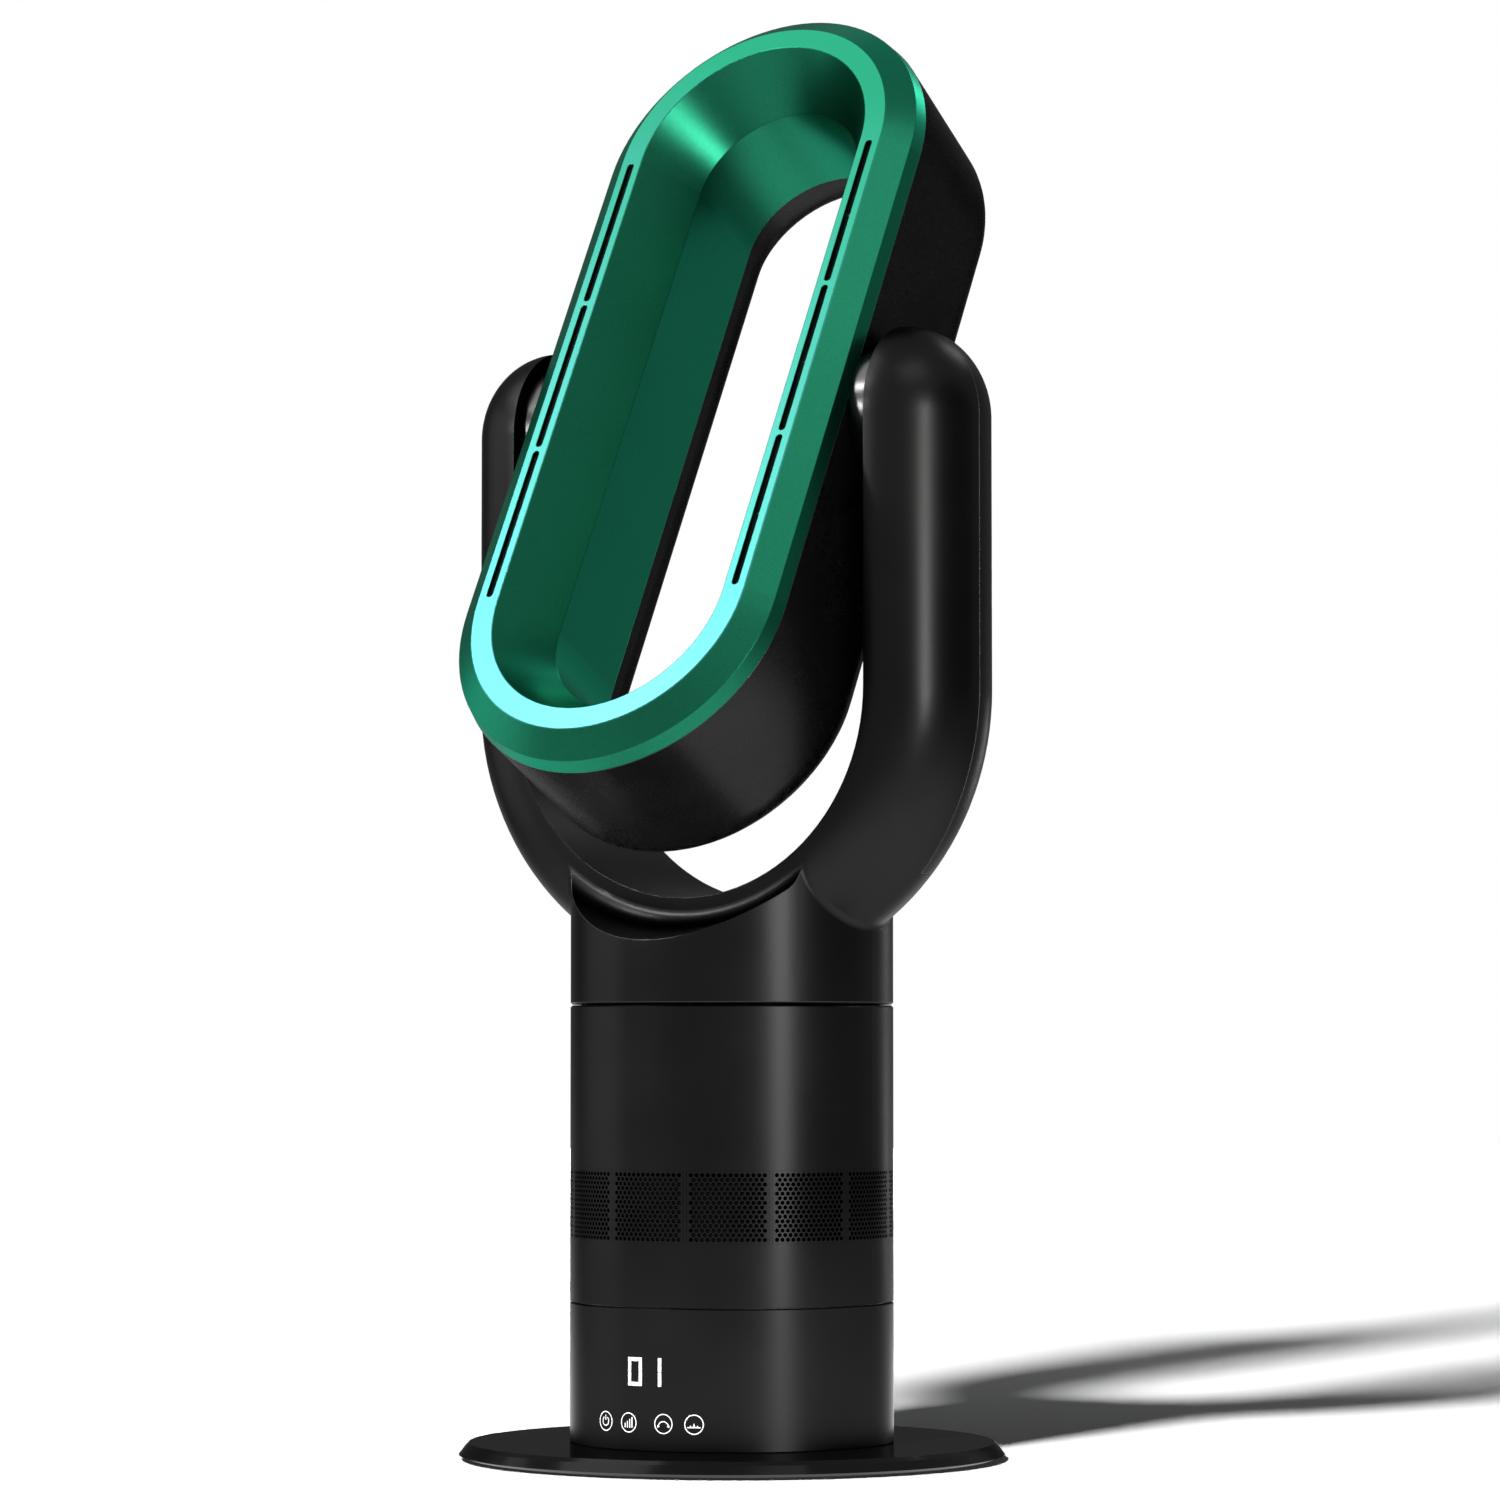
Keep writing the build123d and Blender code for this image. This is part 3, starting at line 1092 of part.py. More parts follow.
# ---------------------------------------------------------------- trunnions
def trunnion_bores(radius, x_from, x_to):
    """Cylinders along X at the trunnions' screws, on both sides."""
    step = 2 * math.pi / TRUNNION_SCREW_COUNT
    bores = []
    for i in range(TRUNNION_SCREW_COUNT):
        a = math.pi / 2 + step * i
        y, z = TRUNNION_SCREW_R * math.cos(a), TRUNNION_SCREW_R * math.sin(a)
        bores += both_sides(bore_x(radius, x_from, x_to, y, PIVOT_Z + z))
    return bores


def trunnions():
    inside = BACK_R - 2 * RING_WALL
    boss = bore_x(BOSS_R, BACK_R - RING_WALL, BOSS_OUT_X, 0, PIVOT_Z) - ring_from(ring_section(0))
    spigot = bore_x(TRUNNION_R, inside, SPIGOT_OUT_X, 0, PIVOT_Z)
    body = boss + spigot - bore_x(TRUNNION_R - TRUNNION_WALL, inside, SPIGOT_OUT_X, 0, PIVOT_Z)
    body = body - clip_ring(TRUNNION_R)
    return [piece - trunnion_bores(M3_R, BACK_R - RING_WALL, screw_end_x()) for piece in both_sides(body)]


def screw_end_x():
    return BACK_R - RING_WALL + TRUNNION_SCREW_LENGTH


def trunnion_screws():
    seat = BACK_R - 1.5 * RING_WALL
    heads = trunnion_bores(M3_HEAD_R, seat - M3_HEAD_H, seat)
    shanks = trunnion_bores(M3_R, seat, screw_end_x() - 1)
    return [head + shank for head, shank in zip(heads, shanks)]


def trunnion_bushes():
    """Bearing bush in each arm; the lug on its outer face stops the tilt against the clip's ends."""
    high = YOKE_R + BUSH_T
    bush = bore_x(TRUNNION_R + BUSH_W, YOKE_R, high, 0, PIVOT_Z)
    bush += bore_x(TRUNNION_R + 2 * BUSH_W, YOKE_FACE_X, high, 0, PIVOT_Z)
    lug = sector_x(TRUNNION_R + 2 * BUSH_W, YOKE_FACE_X, high + GAP + TRUNNION_CLIP_T,
                   TILT_STOP_AT - TILT_STOP_HALF, TILT_STOP_AT + TILT_STOP_HALF)
    return both_sides(bush + lug - bore_x(TRUNNION_R + RUN, YOKE_R, high + 2 * BUSH_T, 0, PIVOT_Z))


def friction_washers():
    washer = bore_x(BOSS_R - 1, YOKE_R - WASHER_T, YOKE_R, 0, PIVOT_Z)
    return both_sides(washer - bore_x(TRUNNION_R + GAP, YOKE_R - WASHER_T, YOKE_R, 0, PIVOT_Z))


def clip_ring(outer):
    """Spring clip on the trunnion, open over the tilt's travel so that its ends meet the bush's lug."""
    low = YOKE_R + BUSH_T + GAP
    high = low + TRUNNION_CLIP_T
    ring = bore_x(outer, low, high, 0, PIVOT_Z) - bore_x(TRUNNION_R - 1, low, high, 0, PIVOT_Z)
    start = TILT_STOP_AT - TILT_STOP_HALF - (TILT_STOP - TILT) - STOP_PLAY
    end = TILT_STOP_AT + TILT_STOP_HALF + (TILT_STOP + TILT) + STOP_PLAY
    return ring - sector_x(outer + 1, low, high, start, end)


def trunnion_clips():
    return both_sides(clip_ring(TRUNNION_R - 1 + TRUNNION_CLIP_W))


# ---------------------------------------------------------------- the whole fan
def nodes():
    digits, icons = display_digits(), touch_icons()
    yoke_front, yoke_rear = yoke_shells()
    return {
        "base_plate": base_plate(),
        "base_weight": base_weight(),
        "foot_pad": foot_pad(),
        "base_screws": base_screws(),
        "control_housing": control_housing(digits + icons),
        "display_digits": digits,
        "touch_icons": icons,
        "control_board": control_board(),
        "board_screws": board_screws() + flat_board_screws(MAIN_BOARD_W, MAIN_BOARD_D, FLOOR_TOP),
        "display_module": display_module(),
        "touch_pads": touch_pads(),
        "main_board": flat_board(MAIN_BOARD_W, MAIN_BOARD_D, FLOOR_TOP),
        "power_components": power_components(),
        "power_inlet": power_inlet(),
        "turntable_deck": turntable_deck(),
        "deck_screws": deck_screws(),
        "thrust_ring": thrust_ring(),
        "oscillation_motor": oscillation_motor(),
        "motor_screws": motor_screws(),
        "oscillation_pinion": oscillation_pinion(),
        "pinion_shaft": pinion_shaft(),
        "turntable": turntable(),
        "ring_gear": ring_gear(),
        "spindle_clip": spindle_clip(),
        "turntable_screws": turntable_screws(),
        "motor_board": flat_board(MOTOR_BOARD_W, MOTOR_BOARD_D, TURNTABLE_TOP),
        "motor_board_screws": flat_board_screws(MOTOR_BOARD_W, MOTOR_BOARD_D, TURNTABLE_TOP),
        "lead_bundle": lead_bundle(),
        "main_housing": main_housing(),
        "intake_grilles": intake_grilles(),
        "dust_screen": dust_screen(),
        "inlet_ring": inlet_ring(),
        "bucket_seal": bucket_seal(),
        "motor_bucket": motor_bucket(),
        "isolation_ring": isolation_ring(),
        "diffuser": diffuser(),
        "motor_cap": motor_cap(),
        "motor_bearings": motor_bearings(),
        "motor_stator": motor_stator(),
        "rotor_magnet": rotor_magnet(),
        "impeller_shaft": impeller_shaft(),
        "impeller": impeller(),
        "impeller_nut": impeller_nut(),
        "yoke_front_shell": yoke_front,
        "yoke_back_covers": yoke_rear,
        "yoke_screws": yoke_screws(),
        "seam_screws": seam_screws(),
        "trunnion_bushes": trunnion_bushes(),
        "friction_washers": friction_washers(),
        "trunnions": trunnions(),
        "trunnion_screws": trunnion_screws(),
        "trunnion_clips": trunnion_clips(),
        "front_bezel": front_bezel(),
        "inner_duct": inner_duct(),
        "rear_shell": rear_shell(),
        "nozzle_strips": nozzle_strips(),
        "loop_gasket": loop_gasket(),
    }


os.makedirs("parts", exist_ok=True)
for name, shape in nodes().items():
    if isinstance(shape, list):
        shape = Compound(children=shape)
    shape.label = name
    export_step(shape, f"parts/{name}.step")
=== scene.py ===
import math

import bmesh
import bpy
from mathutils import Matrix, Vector


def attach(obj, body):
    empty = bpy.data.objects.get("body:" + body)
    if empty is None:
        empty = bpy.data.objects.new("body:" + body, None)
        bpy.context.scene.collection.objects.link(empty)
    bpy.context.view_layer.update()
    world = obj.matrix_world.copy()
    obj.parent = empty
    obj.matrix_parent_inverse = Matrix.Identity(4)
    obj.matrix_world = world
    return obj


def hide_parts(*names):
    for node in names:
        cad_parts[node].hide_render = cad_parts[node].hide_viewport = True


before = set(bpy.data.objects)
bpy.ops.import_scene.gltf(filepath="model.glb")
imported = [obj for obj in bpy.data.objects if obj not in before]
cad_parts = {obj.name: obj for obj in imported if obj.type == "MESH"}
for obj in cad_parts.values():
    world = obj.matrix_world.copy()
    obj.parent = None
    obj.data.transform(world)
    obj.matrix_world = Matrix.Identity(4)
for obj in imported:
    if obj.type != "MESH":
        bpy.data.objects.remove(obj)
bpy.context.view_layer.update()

# Metres and watts. +Z is up, the fan blows towards -Y, and the floor is z = 0.

# The ring
TILT = math.radians(29.15)            # it leans back at rest
PIVOT = Vector((0.0, 0.0, 0.4144))    # middle of the axis through its hubs
RING_NORMAL = Vector((0.0, -math.cos(TILT), math.sin(TILT)))
LIP_POINT = PIVOT + RING_NORMAL * 0.0449    # middle of the lip's plane

# The perforated panels in the tower's windows
PANELS = 12
PANEL_MID_Z = 0.1023
PANEL_HALF_Z = 0.01435
PANEL_HALF_ANGLE = math.radians(14.38)
TOWER_R = 0.065
SKIN = 0.0007                         # thickness of the sheet
ROWS = 15
ROW_PITCH = 0.001796
HOLES = 14                            # in the odd rows; the even rows have one less
HOLE_ANGLE = math.radians(1.977)      # pitch of the holes round the tower
HOLE_R = 0.00085
HOLE_STEP = math.pi / 6               # a hole has twelve sides
SAME_ANGLE = 1e-6                     # radians
WELD = 1e-5

# Finishes
GREEN = (0.0070, 0.0900, 0.0500)
LIP_TOP = (0.0068, 0.0960, 0.0520)
# The lip's colour low down is a painted reflection: brighter turquoise where the lip would catch the most
# light
LIP_LOW_PAINTED_REFLECTION = (0.0380, 0.1700, 0.1650)
LIP_REFLECTION_BAND = (0.57, 0.31)               # heights between which the lip fades from its own green at the top to the painted reflection low down
LIP_REFLECTION_SKEW = 0.35                       # by how much the painted reflection's height rises towards the left
LIP_DEPTH = 0.0004                    # how far behind the lip's plane its colours reach
PAINTED_EDGE_HIGHLIGHT = 4.0                            # painted highlight: how much lighter a moulding is painted along its sharp edges
FINE = 0.0006                         # grain of the outer mouldings
NOISE_SPAN = (0.35, 0.65)             # where most of a noise's values lie

# The lamp that casts the shadow
KEY_PLACE = Vector((0.071, -1.387, 1.107))
KEY_R = 0.1
KEY_WATTS = 120.0

# The room and the floor
QUIET = 0.025                         # what the white room adds to matt surfaces
WHITE = (1.0, 1.0, 1.0)
DARK = (0.2, 0.2, 0.2)
PAPER = (0.8, 0.8, 0.8)               # the floor, where it only lights other surfaces
PAPER_OVER = 1.04                     # the floor is kept a little over white
FLOOR_R = 6.0
POOL_MIDDLE = Vector((0.0, 0.1, 0.0))
POOL_EDGE, POOL_CORE = 1.2, 0.4       # distances between which the mirrored floor brightens
POOL_LOW, POOL_HIGH = 0.7, 2.6        # its strength beyond the edge, and in the core

# The camera
EYE = Vector((1.11503, -1.82493, 0.16838))
LOOKS_UP, LOOKS_LEFT = math.radians(3.111), math.radians(31.23)
SENSOR_MM, FOCAL_MM = 36.0, 127.194


def scaled(colour, factor):
    return tuple(factor * c for c in colour)


def around_z(degrees, height):
    """Level direction, counted from the front (-Y) towards +X, raised by height"""
    a = math.radians(degrees)
    return (math.sin(a), -math.cos(a), height)


def add_object(name, data):
    thing = bpy.data.objects.new(name, data)
    bpy.context.scene.collection.objects.link(thing)
    return thing


def finished_mesh(name, build):
    mesh = bpy.data.meshes.new(name)
    build.to_mesh(mesh)
    build.free()
    return mesh


# ---------------------------------------------------------------- shader nodes
class Graph:
    """Short calls that add nodes to a tree. A value is a number, tuple, vector or another node's socket."""

    def __init__(self, tree):
        self.tree = tree

    def put(self, socket, value):
        if isinstance(value, bpy.types.NodeSocket):
            self.tree.links.new(value, socket)
        elif isinstance(value, tuple) and socket.type == "RGBA":
            socket.default_value = (*value, 1.0)
        else:
            socket.default_value = value

    def add(self, kind, inputs=None, **settings):
        node = self.tree.nodes.new(kind)
        for key, value in settings.items():
            setattr(node, key, value)
        for key, value in (inputs or {}).items():
            self.put(node.inputs[key], value)
        return node

    def math(self, operation, one, two=0.0):
        return self.add("ShaderNodeMath", {0: one, 1: two}, operation=operation).outputs[0]

    def vector(self, operation, one, two, result="Value"):
        return self.add("ShaderNodeVectorMath", {0: one, 1: two}, operation=operation).outputs[result]

    def split(self, vector):
        return self.add("ShaderNodeSeparateXYZ", {0: vector}).outputs

    def ramp(self, value, low, high, start=0.0, end=1.0):
        """value mapped from low..high to start..end, clamped"""
        node = self.add("ShaderNodeMapRange", {"Value": value, "From Min": low, "From Max": high,
                                               "To Min": start, "To Max": end})
        return node.outputs["Result"]

    def mix(self, share, one, two):
        return self.add("ShaderNodeMix", {0: share, 6: one, 7: two}, data_type="RGBA").outputs[2]

    def distance_to(self, point):
        """Distance of the shaded point from another"""
        return self.vector("DISTANCE", self.add("ShaderNodeNewGeometry").outputs["Position"], point)


class Finish(Graph):
    """A material with one Principled shader"""

    def __init__(self, name, **values):
        self.material = bpy.data.materials.new(name)
        self.material.use_nodes = True
        super().__init__(self.material.node_tree)
        self.place = self.add("ShaderNodeTexCoord").outputs["Object"]
        self.set(**values)

    def set(self, **values):
        """Principled inputs, with an underscore for each space in their names"""
        inputs = self.tree.nodes["Principled BSDF"].inputs
        for key, value in values.items():
            self.put(inputs[key.replace("_", " ")], value)

    def noise(self, scale, detail=3.0, place=None):
        inputs = {"Vector": place or self.place, "Scale": scale, "Detail": detail}
        return self.add("ShaderNodeTexNoise", inputs).outputs["Fac"]

    def bump(self, height, distance, under=None):
        inputs = {"Height": height, "Distance": distance}
        if under is not None:
            inputs["Normal"] = under
        return self.add("ShaderNodeBump", inputs).outputs["Normal"]

    def soft_edges(self, radius):
        return self.add("ShaderNodeBevel", {"Radius": radius}, samples=6).outputs["Normal"]

    def sharp_edges(self, soft):
        """1 on a sharp edge, where the softened normal turns away from the face's own"""
        own = self.add("ShaderNodeNewGeometry").outputs["True Normal"]
        return self.ramp(self.vector("DOT_PRODUCT", own, soft), 0.99, 0.85)

    def near_plane(self, point, normal, reach):
        """1 on the plane through point, and 0 from reach behind it"""
        apart = self.vector("SUBTRACT", self.place, point, "Vector")
        return self.ramp(self.vector("DOT_PRODUCT", apart, normal), -reach, -reach / 2)


# ---------------------------------------------------------------- finishes
def moulded(name, dark, light, rough, grain=0.0009, depth=0.00001, edge=0.0, **values):
    """Moulded plastic: fine grain, slow change of tone and gloss, and with edge, soft edges with a painted
    highlight along them.
    """
    f = Finish(name, **values)
    slow = f.noise(14.0)
    fine = f.noise(1.0 / grain)
    tone = f.mix(f.ramp(slow, *NOISE_SPAN), dark, light)
    under = None
    if edge:
        under = f.soft_edges(edge)
        # painted highlight: the sharp edges are made lighter to stand for the glint they catch
        tone = f.mix(f.sharp_edges(under), tone, scaled(light, PAINTED_EDGE_HIGHLIGHT))
    both = f.math("ADD", slow, f.math("MULTIPLY", fine, 0.5))
    f.set(Base_Color=tone, Roughness=f.ramp(both, 0.55, 0.95, *rough), Normal=f.bump(fine, depth, under))
    return f


def metal(name, tone, rough, marks=(900.0, 900.0, 60.0), depth=0.000006):
    """Metal with fine marks, as many to the metre as marks says for each axis."""
    f = Finish(name, Metallic=1.0)
    lines = f.noise(1.0, place=f.vector("MULTIPLY", f.place, marks, "Vector"))
    f.set(Base_Color=f.mix(f.noise(35.0), scaled(tone, 0.82), tone),
          Roughness=f.ramp(lines, 0.3, 0.7, *rough), Normal=f.bump(lines, depth))
    return f


def plate_gloss():
    """Glossy lacquer over black, whose coat shows more at a grazing angle."""
    f = moulded("plate_gloss", (0.0035, 0.0035, 0.0036), (0.0050, 0.0050, 0.0050), (0.35, 0.45), grain=0.0012,
                depth=0.000003, edge=0.0003, Specular_IOR_Level=0.0, Coat_Roughness=0.12)
    facing = f.add("ShaderNodeLayerWeight", {"Blend": 0.5}).outputs["Facing"]
    f.set(Coat_Weight=f.ramp(facing, 0.80, 0.92, 0.12, 0.17))
    return f


def green_gloss():
    """Metallic lacquer with a fine flake. The lip's flat band has a painted reflection: it fades from green
    at the top to a brighter turquoise low down.
    """
    f = Finish("green_gloss", Metallic=1.0, Specular_Tint=(0.5, 0.8, 0.7))
    colours = f.add("ShaderNodeTexVoronoi", {"Vector": f.place, "Scale": 3200.0}).outputs["Color"]
    flake = f.add("ShaderNodeRGBToBW", {0: colours}).outputs[0]
    body = f.mix(f.ramp(flake, 0.2, 0.8), scaled(GREEN, 0.9), scaled(GREEN, 1.1))
    place = f.split(f.place)
    height = f.math("ADD", place["Z"], f.math("MULTIPLY", place["X"], LIP_REFLECTION_SKEW))
    # painted reflection: the lip turns brighter turquoise with falling height, to stand for the light it
    # catches
    lip = f.mix(f.ramp(height, *LIP_REFLECTION_BAND), LIP_TOP, LIP_LOW_PAINTED_REFLECTION)
    f.set(Base_Color=f.mix(f.near_plane(LIP_POINT, RING_NORMAL, LIP_DEPTH), body, lip),
          Roughness=f.ramp(f.noise(9.0, 2.0), *NOISE_SPAN, 0.32, 0.38),
          Normal=f.bump(flake, 0.0000015, f.soft_edges(0.0004)))
    return f


def lit_glyph():
    """Inlay that is lit from behind, a little unevenly."""
    f = Finish("lit_glyph", Base_Color=(0.85, 0.87, 0.88), Roughness=0.35, Emission_Strength=1.1)
    f.set(Emission_Color=f.mix(f.noise(700.0, 1.0), (0.80, 0.84, 0.87), WHITE))
    return f


SATIN = dict(dark=(0.0098, 0.0098, 0.0099), light=(0.0124, 0.0123, 0.0121), rough=(0.29, 0.35), grain=FINE,
             Metallic=1.0, Specular_Tint=(0.5, 0.5, 0.5))
MOULDINGS = {
    "black_satin": dict(SATIN, depth=0.000004, edge=0.0006),
    "black_plain": dict(SATIN, depth=0.000003),
    "black_rear": dict(dark=(0.0190, 0.0190, 0.0191), light=(0.0230, 0.0230, 0.0229), rough=(0.24, 0.30),
                       grain=FINE, depth=0.000003, edge=0.0005, Metallic=0.55, Specular_IOR_Level=0.0,
                       Specular_Tint=(0.4, 0.4, 0.4)),
    "black_hub": dict(dark=(0.0260, 0.0260, 0.0262), light=(0.0320, 0.0320, 0.0320), rough=(0.20, 0.24),
                      grain=FINE, depth=0.000002, edge=0.0004, Metallic=1.0, Specular_Tint=(0.5, 0.5, 0.5)),
    "inner_plastic": dict(dark=(0.055, 0.055, 0.058), light=(0.075, 0.075, 0.08), rough=(0.45, 0.6)),
    "gear_plastic": dict(dark=(0.66, 0.64, 0.58), light=(0.76, 0.74, 0.69), rough=(0.3, 0.4)),
    "fan_plastic": dict(dark=(0.24, 0.25, 0.26), light=(0.32, 0.33, 0.34), rough=(0.35, 0.5)),
    "rubber": dict(dark=(0.012, 0.012, 0.012), light=(0.022, 0.022, 0.022), rough=(0.75, 0.9), grain=0.0015,
                   depth=0.00003),
    "grey_rubber": dict(dark=(0.09, 0.09, 0.09), light=(0.12, 0.12, 0.12), rough=(0.6, 0.8), grain=0.0015),
    "foam": dict(dark=(0.004, 0.004, 0.004), light=(0.008, 0.008, 0.008), rough=(0.9, 1.0), grain=0.001,
                 depth=0.0002, Specular_IOR_Level=0.0),
    "board": dict(dark=(0.014, 0.12, 0.05), light=(0.02, 0.17, 0.075), rough=(0.3, 0.4), grain=0.002),
    "component": dict(dark=(0.03, 0.03, 0.035), light=(0.06, 0.06, 0.07), rough=(0.35, 0.5)),
    "socket": dict(dark=(0.012, 0.012, 0.012), light=(0.02, 0.02, 0.02), rough=(0.4, 0.5)),
    "leads": dict(dark=(0.18, 0.03, 0.025), light=(0.26, 0.05, 0.04), rough=(0.5, 0.6)),
}
METALS = {
    "steel": dict(tone=(0.56, 0.56, 0.58), rough=(0.22, 0.38)),
    "cast_weight": dict(tone=(0.17, 0.17, 0.18), rough=(0.5, 0.7), marks=(400.0, 400.0, 400.0),
                        depth=0.00003),
    "copper": dict(tone=(0.62, 0.30, 0.15), rough=(0.25, 0.4), marks=(60.0, 60.0, 2500.0), depth=0.00004),
    "magnet": dict(tone=(0.2, 0.2, 0.22), rough=(0.4, 0.55), marks=(500.0, 500.0, 500.0)),
}

# Nodes that don't wear the finish of their material slot. The tower's walls and the sheet in its windows have
# no softened edges.
WEARS = {
    "main_housing": "black_plain",
    "control_housing": "black_plain",
    "intake_grilles": "black_plain",
    "rear_shell": "black_rear",
    "trunnions": "black_hub",
}


def make_finishes():
    finishes = {name: moulded(name, **look) for name, look in MOULDINGS.items()}
    finishes.update({name: metal(name, **look) for name, look in METALS.items()})
    finishes.update(plate_gloss=plate_gloss(), green_gloss=green_gloss(), lit_glyph=lit_glyph())
    return finishes


def dress(finishes):
    for name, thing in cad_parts.items():
        slot = thing.material_slots[0]
        slot.material = finishes[WEARS.get(name, slot.name)].material


# ---------------------------------------------------------------- perforated panels
def on_tower(angle, z):
    return (TOWER_R * math.sin(angle), -TOWER_R * math.cos(angle), PANEL_MID_Z + z)


def cell(build, angle, z):
    """One hole in its own rectangle of sheet, which is as wide and high as the pitch, made by quadrants."""
    wide, high = HOLE_ANGLE / 2, ROW_PITCH / 2
    for c, s in ((1, 0), (0, 1), (-1, 0), (0, -1)):
        rim = []
        for k in range(4):
            turn = math.atan2(s, c) + k * HOLE_STEP
            rim.append(on_tower(angle + HOLE_R / TOWER_R * math.cos(turn), z + HOLE_R * math.sin(turn)))
        ways = ((c, s), (c - s, s + c), (-s, c))
        middle, corner, after = [on_tower(angle + wide * x, z + high * y) for x, y in ways]
        faces = ((rim[0], middle, corner, rim[1]), (rim[1], corner, rim[2]), (rim[2], corner, after, rim[3]))
        for face in faces:
            build.faces.new([build.verts.new(place) for place in face])


def strip(build, angles, heights):
    """Plain sheet between two angles, divided at each half pitch and height, so that it meets the cells."""
    first, last = angles
    halves = [k * HOLE_ANGLE / 2 for k in range(-2 * HOLES, 2 * HOLES)]
    stops = [first, *(a for a in halves if first + SAME_ANGLE < a < last - SAME_ANGLE), last]
    for low, high in zip(heights, heights[1:]):
        for a, b in zip(stops, stops[1:]):
            corners = ((a, low), (b, low), (b, high), (a, high))
            build.faces.new([build.verts.new(on_tower(*place)) for place in corners])


def perforated_panel():
    """The panel in the front window, with every other row of holes staggered"""
    build = bmesh.new()
    for row in range(ROWS):
        z = (row - (ROWS - 1) / 2) * ROW_PITCH
        count = HOLES - row % 2
        for k in range(count):
            cell(build, (k - (count - 1) / 2) * HOLE_ANGLE, z)
        reach = count / 2 * HOLE_ANGLE
        band = (z - ROW_PITCH / 2, z, z + ROW_PITCH / 2)
        strip(build, (-PANEL_HALF_ANGLE, -reach), band)
        strip(build, (reach, PANEL_HALF_ANGLE), band)
    field = ROWS / 2 * ROW_PITCH
    for band in ((-PANEL_HALF_Z, -field), (field, PANEL_HALF_Z)):
        strip(build, (-PANEL_HALF_ANGLE, PANEL_HALF_ANGLE), band)
    bmesh.ops.remove_doubles(build, verts=build.verts, dist=WELD)
    bmesh.ops.recalc_face_normals(build, faces=build.faces)
    return finished_mesh("panel", build)


def make_grilles(finish):
    """Twelve bowed panels of perforated sheet, set flush in the housing's windows."""
    one = perforated_panel()
    build = bmesh.new()
    for k in range(PANELS):
        start = len(build.verts)
        build.from_mesh(one)
        build.verts.ensure_lookup_table()
        turn = 2 * math.pi * k / PANELS
        c, s = math.cos(turn), math.sin(turn)
        for v in build.verts[start:]:
            x, y = v.co.x, v.co.y
            v.co.x, v.co.y = c * x - s * y, s * x + c * y
    piece = add_object("grille_panels", finished_mesh("grille_panels", build))
    skin = piece.modifiers.new("sheet", "SOLIDIFY")
    skin.thickness = SKIN
    skin.offset = -1.0
    piece.data.materials.append(finish.material)
    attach(piece, "column")
    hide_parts("intake_grilles")


# ---------------------------------------------------------------- studio
def softbox(name, target, direction, size, radiance, distance=1.3):
    """Lamp panel that stands in that direction from target and faces it. Only gloss shows it.

    radiance is what a mirror would show.
    """
    lamp = bpy.data.lights.new(name, "AREA")
    lamp.shape = "RECTANGLE"
    lamp.size, lamp.size_y = size
    lamp.energy = radiance * math.pi * size[0] * size[1]
    rig = add_object(name, lamp)
    rig.location = Vector(target) + Vector(direction).normalized() * distance
    rig.rotation_euler = Vector(direction).to_track_quat("Z", "Y").to_euler()
    rig.visible_camera = False
    rig.visible_diffuse = False


def key_lamp():
    """The lamp that lights matt surfaces and casts the shadow. As a point, it lights the floor all round."""
    lamp = bpy.data.lights.new("key", "POINT")
    lamp.shadow_soft_size = KEY_R
    lamp.energy = KEY_WATTS
    key = add_object("key", lamp)
    key.location = KEY_PLACE
    key.visible_glossy = False
    key.visible_camera = False


def lights():
    softbox("lip_box", LIP_POINT, (-0.526, -0.334, 0.782), (0.8, 0.8), 5.0)
    softbox("hub_spot", (0.08, 0.0, 0.42), around_z(-38.0, 0.75), (0.14, 0.14), 120.0)
    softbox("saddle_spot", (0.0, 0.0, 0.22), around_z(-31.0, 0.40), (0.1, 0.1), 320.0)
    softbox("left_box", (0.0, 0.0, 0.5), around_z(-74.0, 0.0), (1.0, 1.0), 1.8)
    softbox("right_strip", (0.0, 0.0, 0.48), around_z(66.0, 0.0), (0.36, 0.92), 40.0, distance=2.6)
    softbox("right_top", LIP_POINT, (0.546, -0.317, 0.773), (0.7, 0.5), 2.6)
    softbox("back_top", LIP_POINT, around_z(163.0, 0.78), (0.35, 0.35), 14.0)
    softbox("rim_strip", (0.0, 0.0, 0.2), around_z(172.0, -0.02), (0.1, 0.3), 12.0)
    key_lamp()


def dark_side(g, way, degrees, reach, rises):
    """1 round a level direction, and 0 outside reach (two cosines) and above or below rises (two sines)"""
    side = g.ramp(g.vector("DOT_PRODUCT", way, around_z(degrees, 0.0)), *reach)
    rise = g.ramp(g.math("ABSOLUTE", g.split(way)["Z"]), *rises)
    return g.math("MULTIPLY", side, rise)


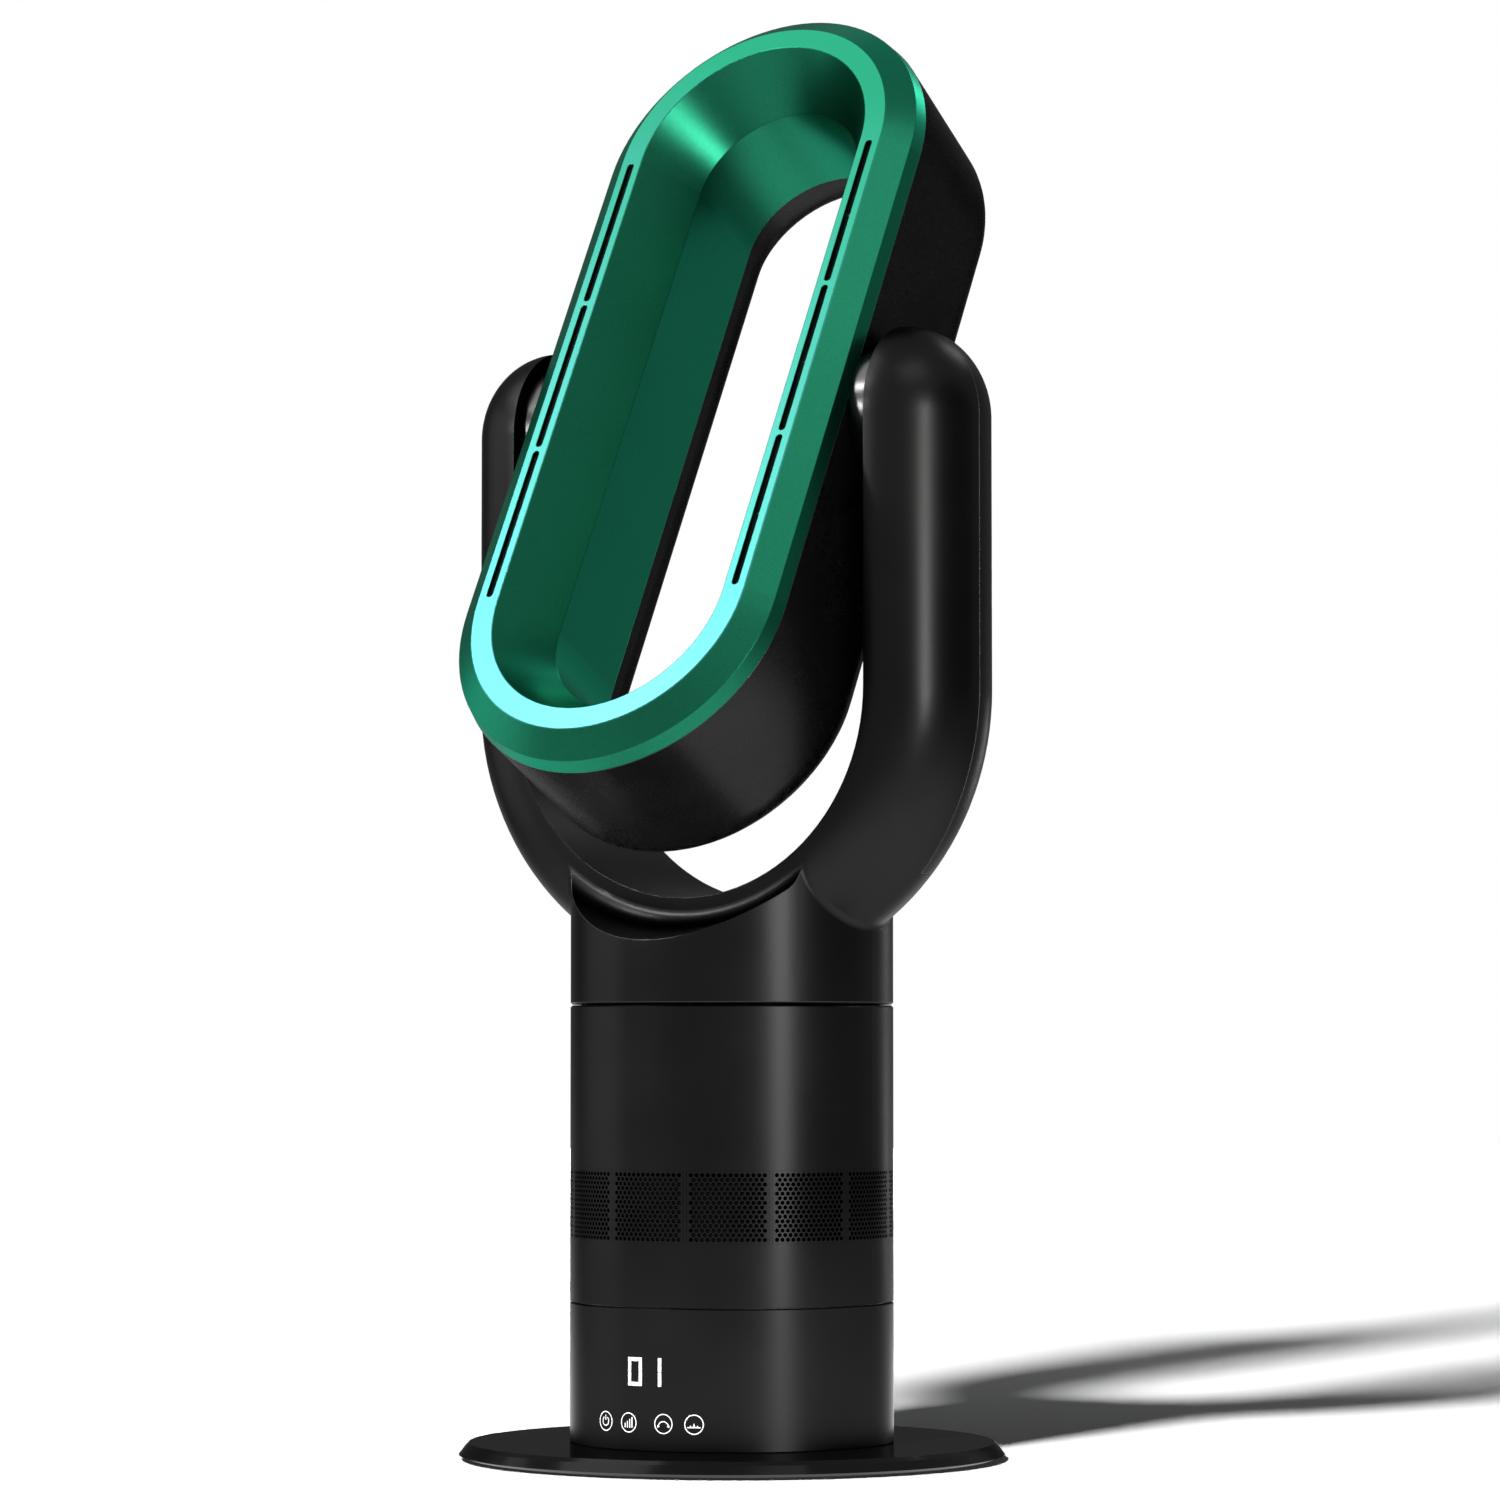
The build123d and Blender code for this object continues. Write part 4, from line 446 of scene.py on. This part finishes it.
def white_world():
    """White all round, with two dark sides of the room that only gloss shows."""
    world = bpy.data.worlds.new("studio")
    bpy.context.scene.world = world
    world.use_nodes = True
    g = Graph(world.node_tree)
    rays = g.add("ShaderNodeLightPath").outputs
    way = g.add("ShaderNodeTexCoord").outputs["Generated"]
    right = dark_side(g, way, 105.0, (0.79, 0.89), (0.7, 0.5))
    left = dark_side(g, way, -142.0, (0.64, 0.82), (0.75, 0.55))
    dark = g.math("MULTIPLY", g.math("MAXIMUM", right, left), rays["Is Glossy Ray"])
    seen = g.math("MAXIMUM", rays["Is Camera Ray"], rays["Is Glossy Ray"])
    seen = g.math("MAXIMUM", seen, rays["Is Transmission Ray"])
    back = g.tree.nodes["Background"].inputs
    g.put(back["Color"], g.mix(dark, WHITE, DARK))
    g.put(back["Strength"], g.ramp(seen, 0.0, 1.0, QUIET))


def paper_tone(g):
    """Tone that makes up for the key's fall-off, so that the whole floor is white.

    The key lights the floor by KEY_WATTS * height / (4 pi distance^3), and the paper shows tone / pi of that.
    """
    cube = g.math("POWER", g.distance_to(KEY_PLACE), 3.0)
    return g.math("MULTIPLY", cube, PAPER_OVER * 4.0 * math.pi ** 2 / (KEY_WATTS * KEY_PLACE.z))


def floor_paper():
    """White paper under the key's shadow for the camera, and a floor that glows round the fan for gloss."""
    material = bpy.data.materials.new("floor_paper")
    material.use_nodes = True
    g = Graph(material.node_tree)
    g.tree.nodes.clear()
    rays = g.add("ShaderNodeLightPath").outputs
    tone = g.mix(rays["Is Camera Ray"], PAPER, paper_tone(g))
    paper = g.add("ShaderNodeBsdfDiffuse", {"Color": tone}).outputs[0]
    pool = g.ramp(g.distance_to(POOL_MIDDLE), POOL_EDGE, POOL_CORE, POOL_LOW, POOL_HIGH)
    glow = g.add("ShaderNodeEmission", {"Strength": pool}).outputs[0]
    mirrored = g.math("MAXIMUM", rays["Is Glossy Ray"], rays["Is Transmission Ray"])
    either = g.add("ShaderNodeMixShader", {0: mirrored, 1: paper, 2: glow}).outputs[0]
    g.add("ShaderNodeOutputMaterial", {"Surface": either})
    return material


def white_floor():
    build = bmesh.new()
    bmesh.ops.create_circle(build, cap_ends=True, segments=96, radius=FLOOR_R)
    floor = add_object("floor", finished_mesh("floor", build))
    floor.data.materials.append(floor_paper())


def camera():
    lens = bpy.data.cameras.new("camera")
    lens.sensor_width = SENSOR_MM
    lens.lens = FOCAL_MM
    eye = add_object("camera", lens)
    eye.location = EYE
    eye.rotation_euler = (math.pi / 2 + LOOKS_UP, 0.0, LOOKS_LEFT)
    bpy.context.scene.camera = eye


# ---------------------------------------------------------------- scene
finishes = make_finishes()
dress(finishes)
make_grilles(finishes["black_plain"])
white_world()
white_floor()
lights()
camera()
bpy.context.scene.view_settings.view_transform = "Standard"
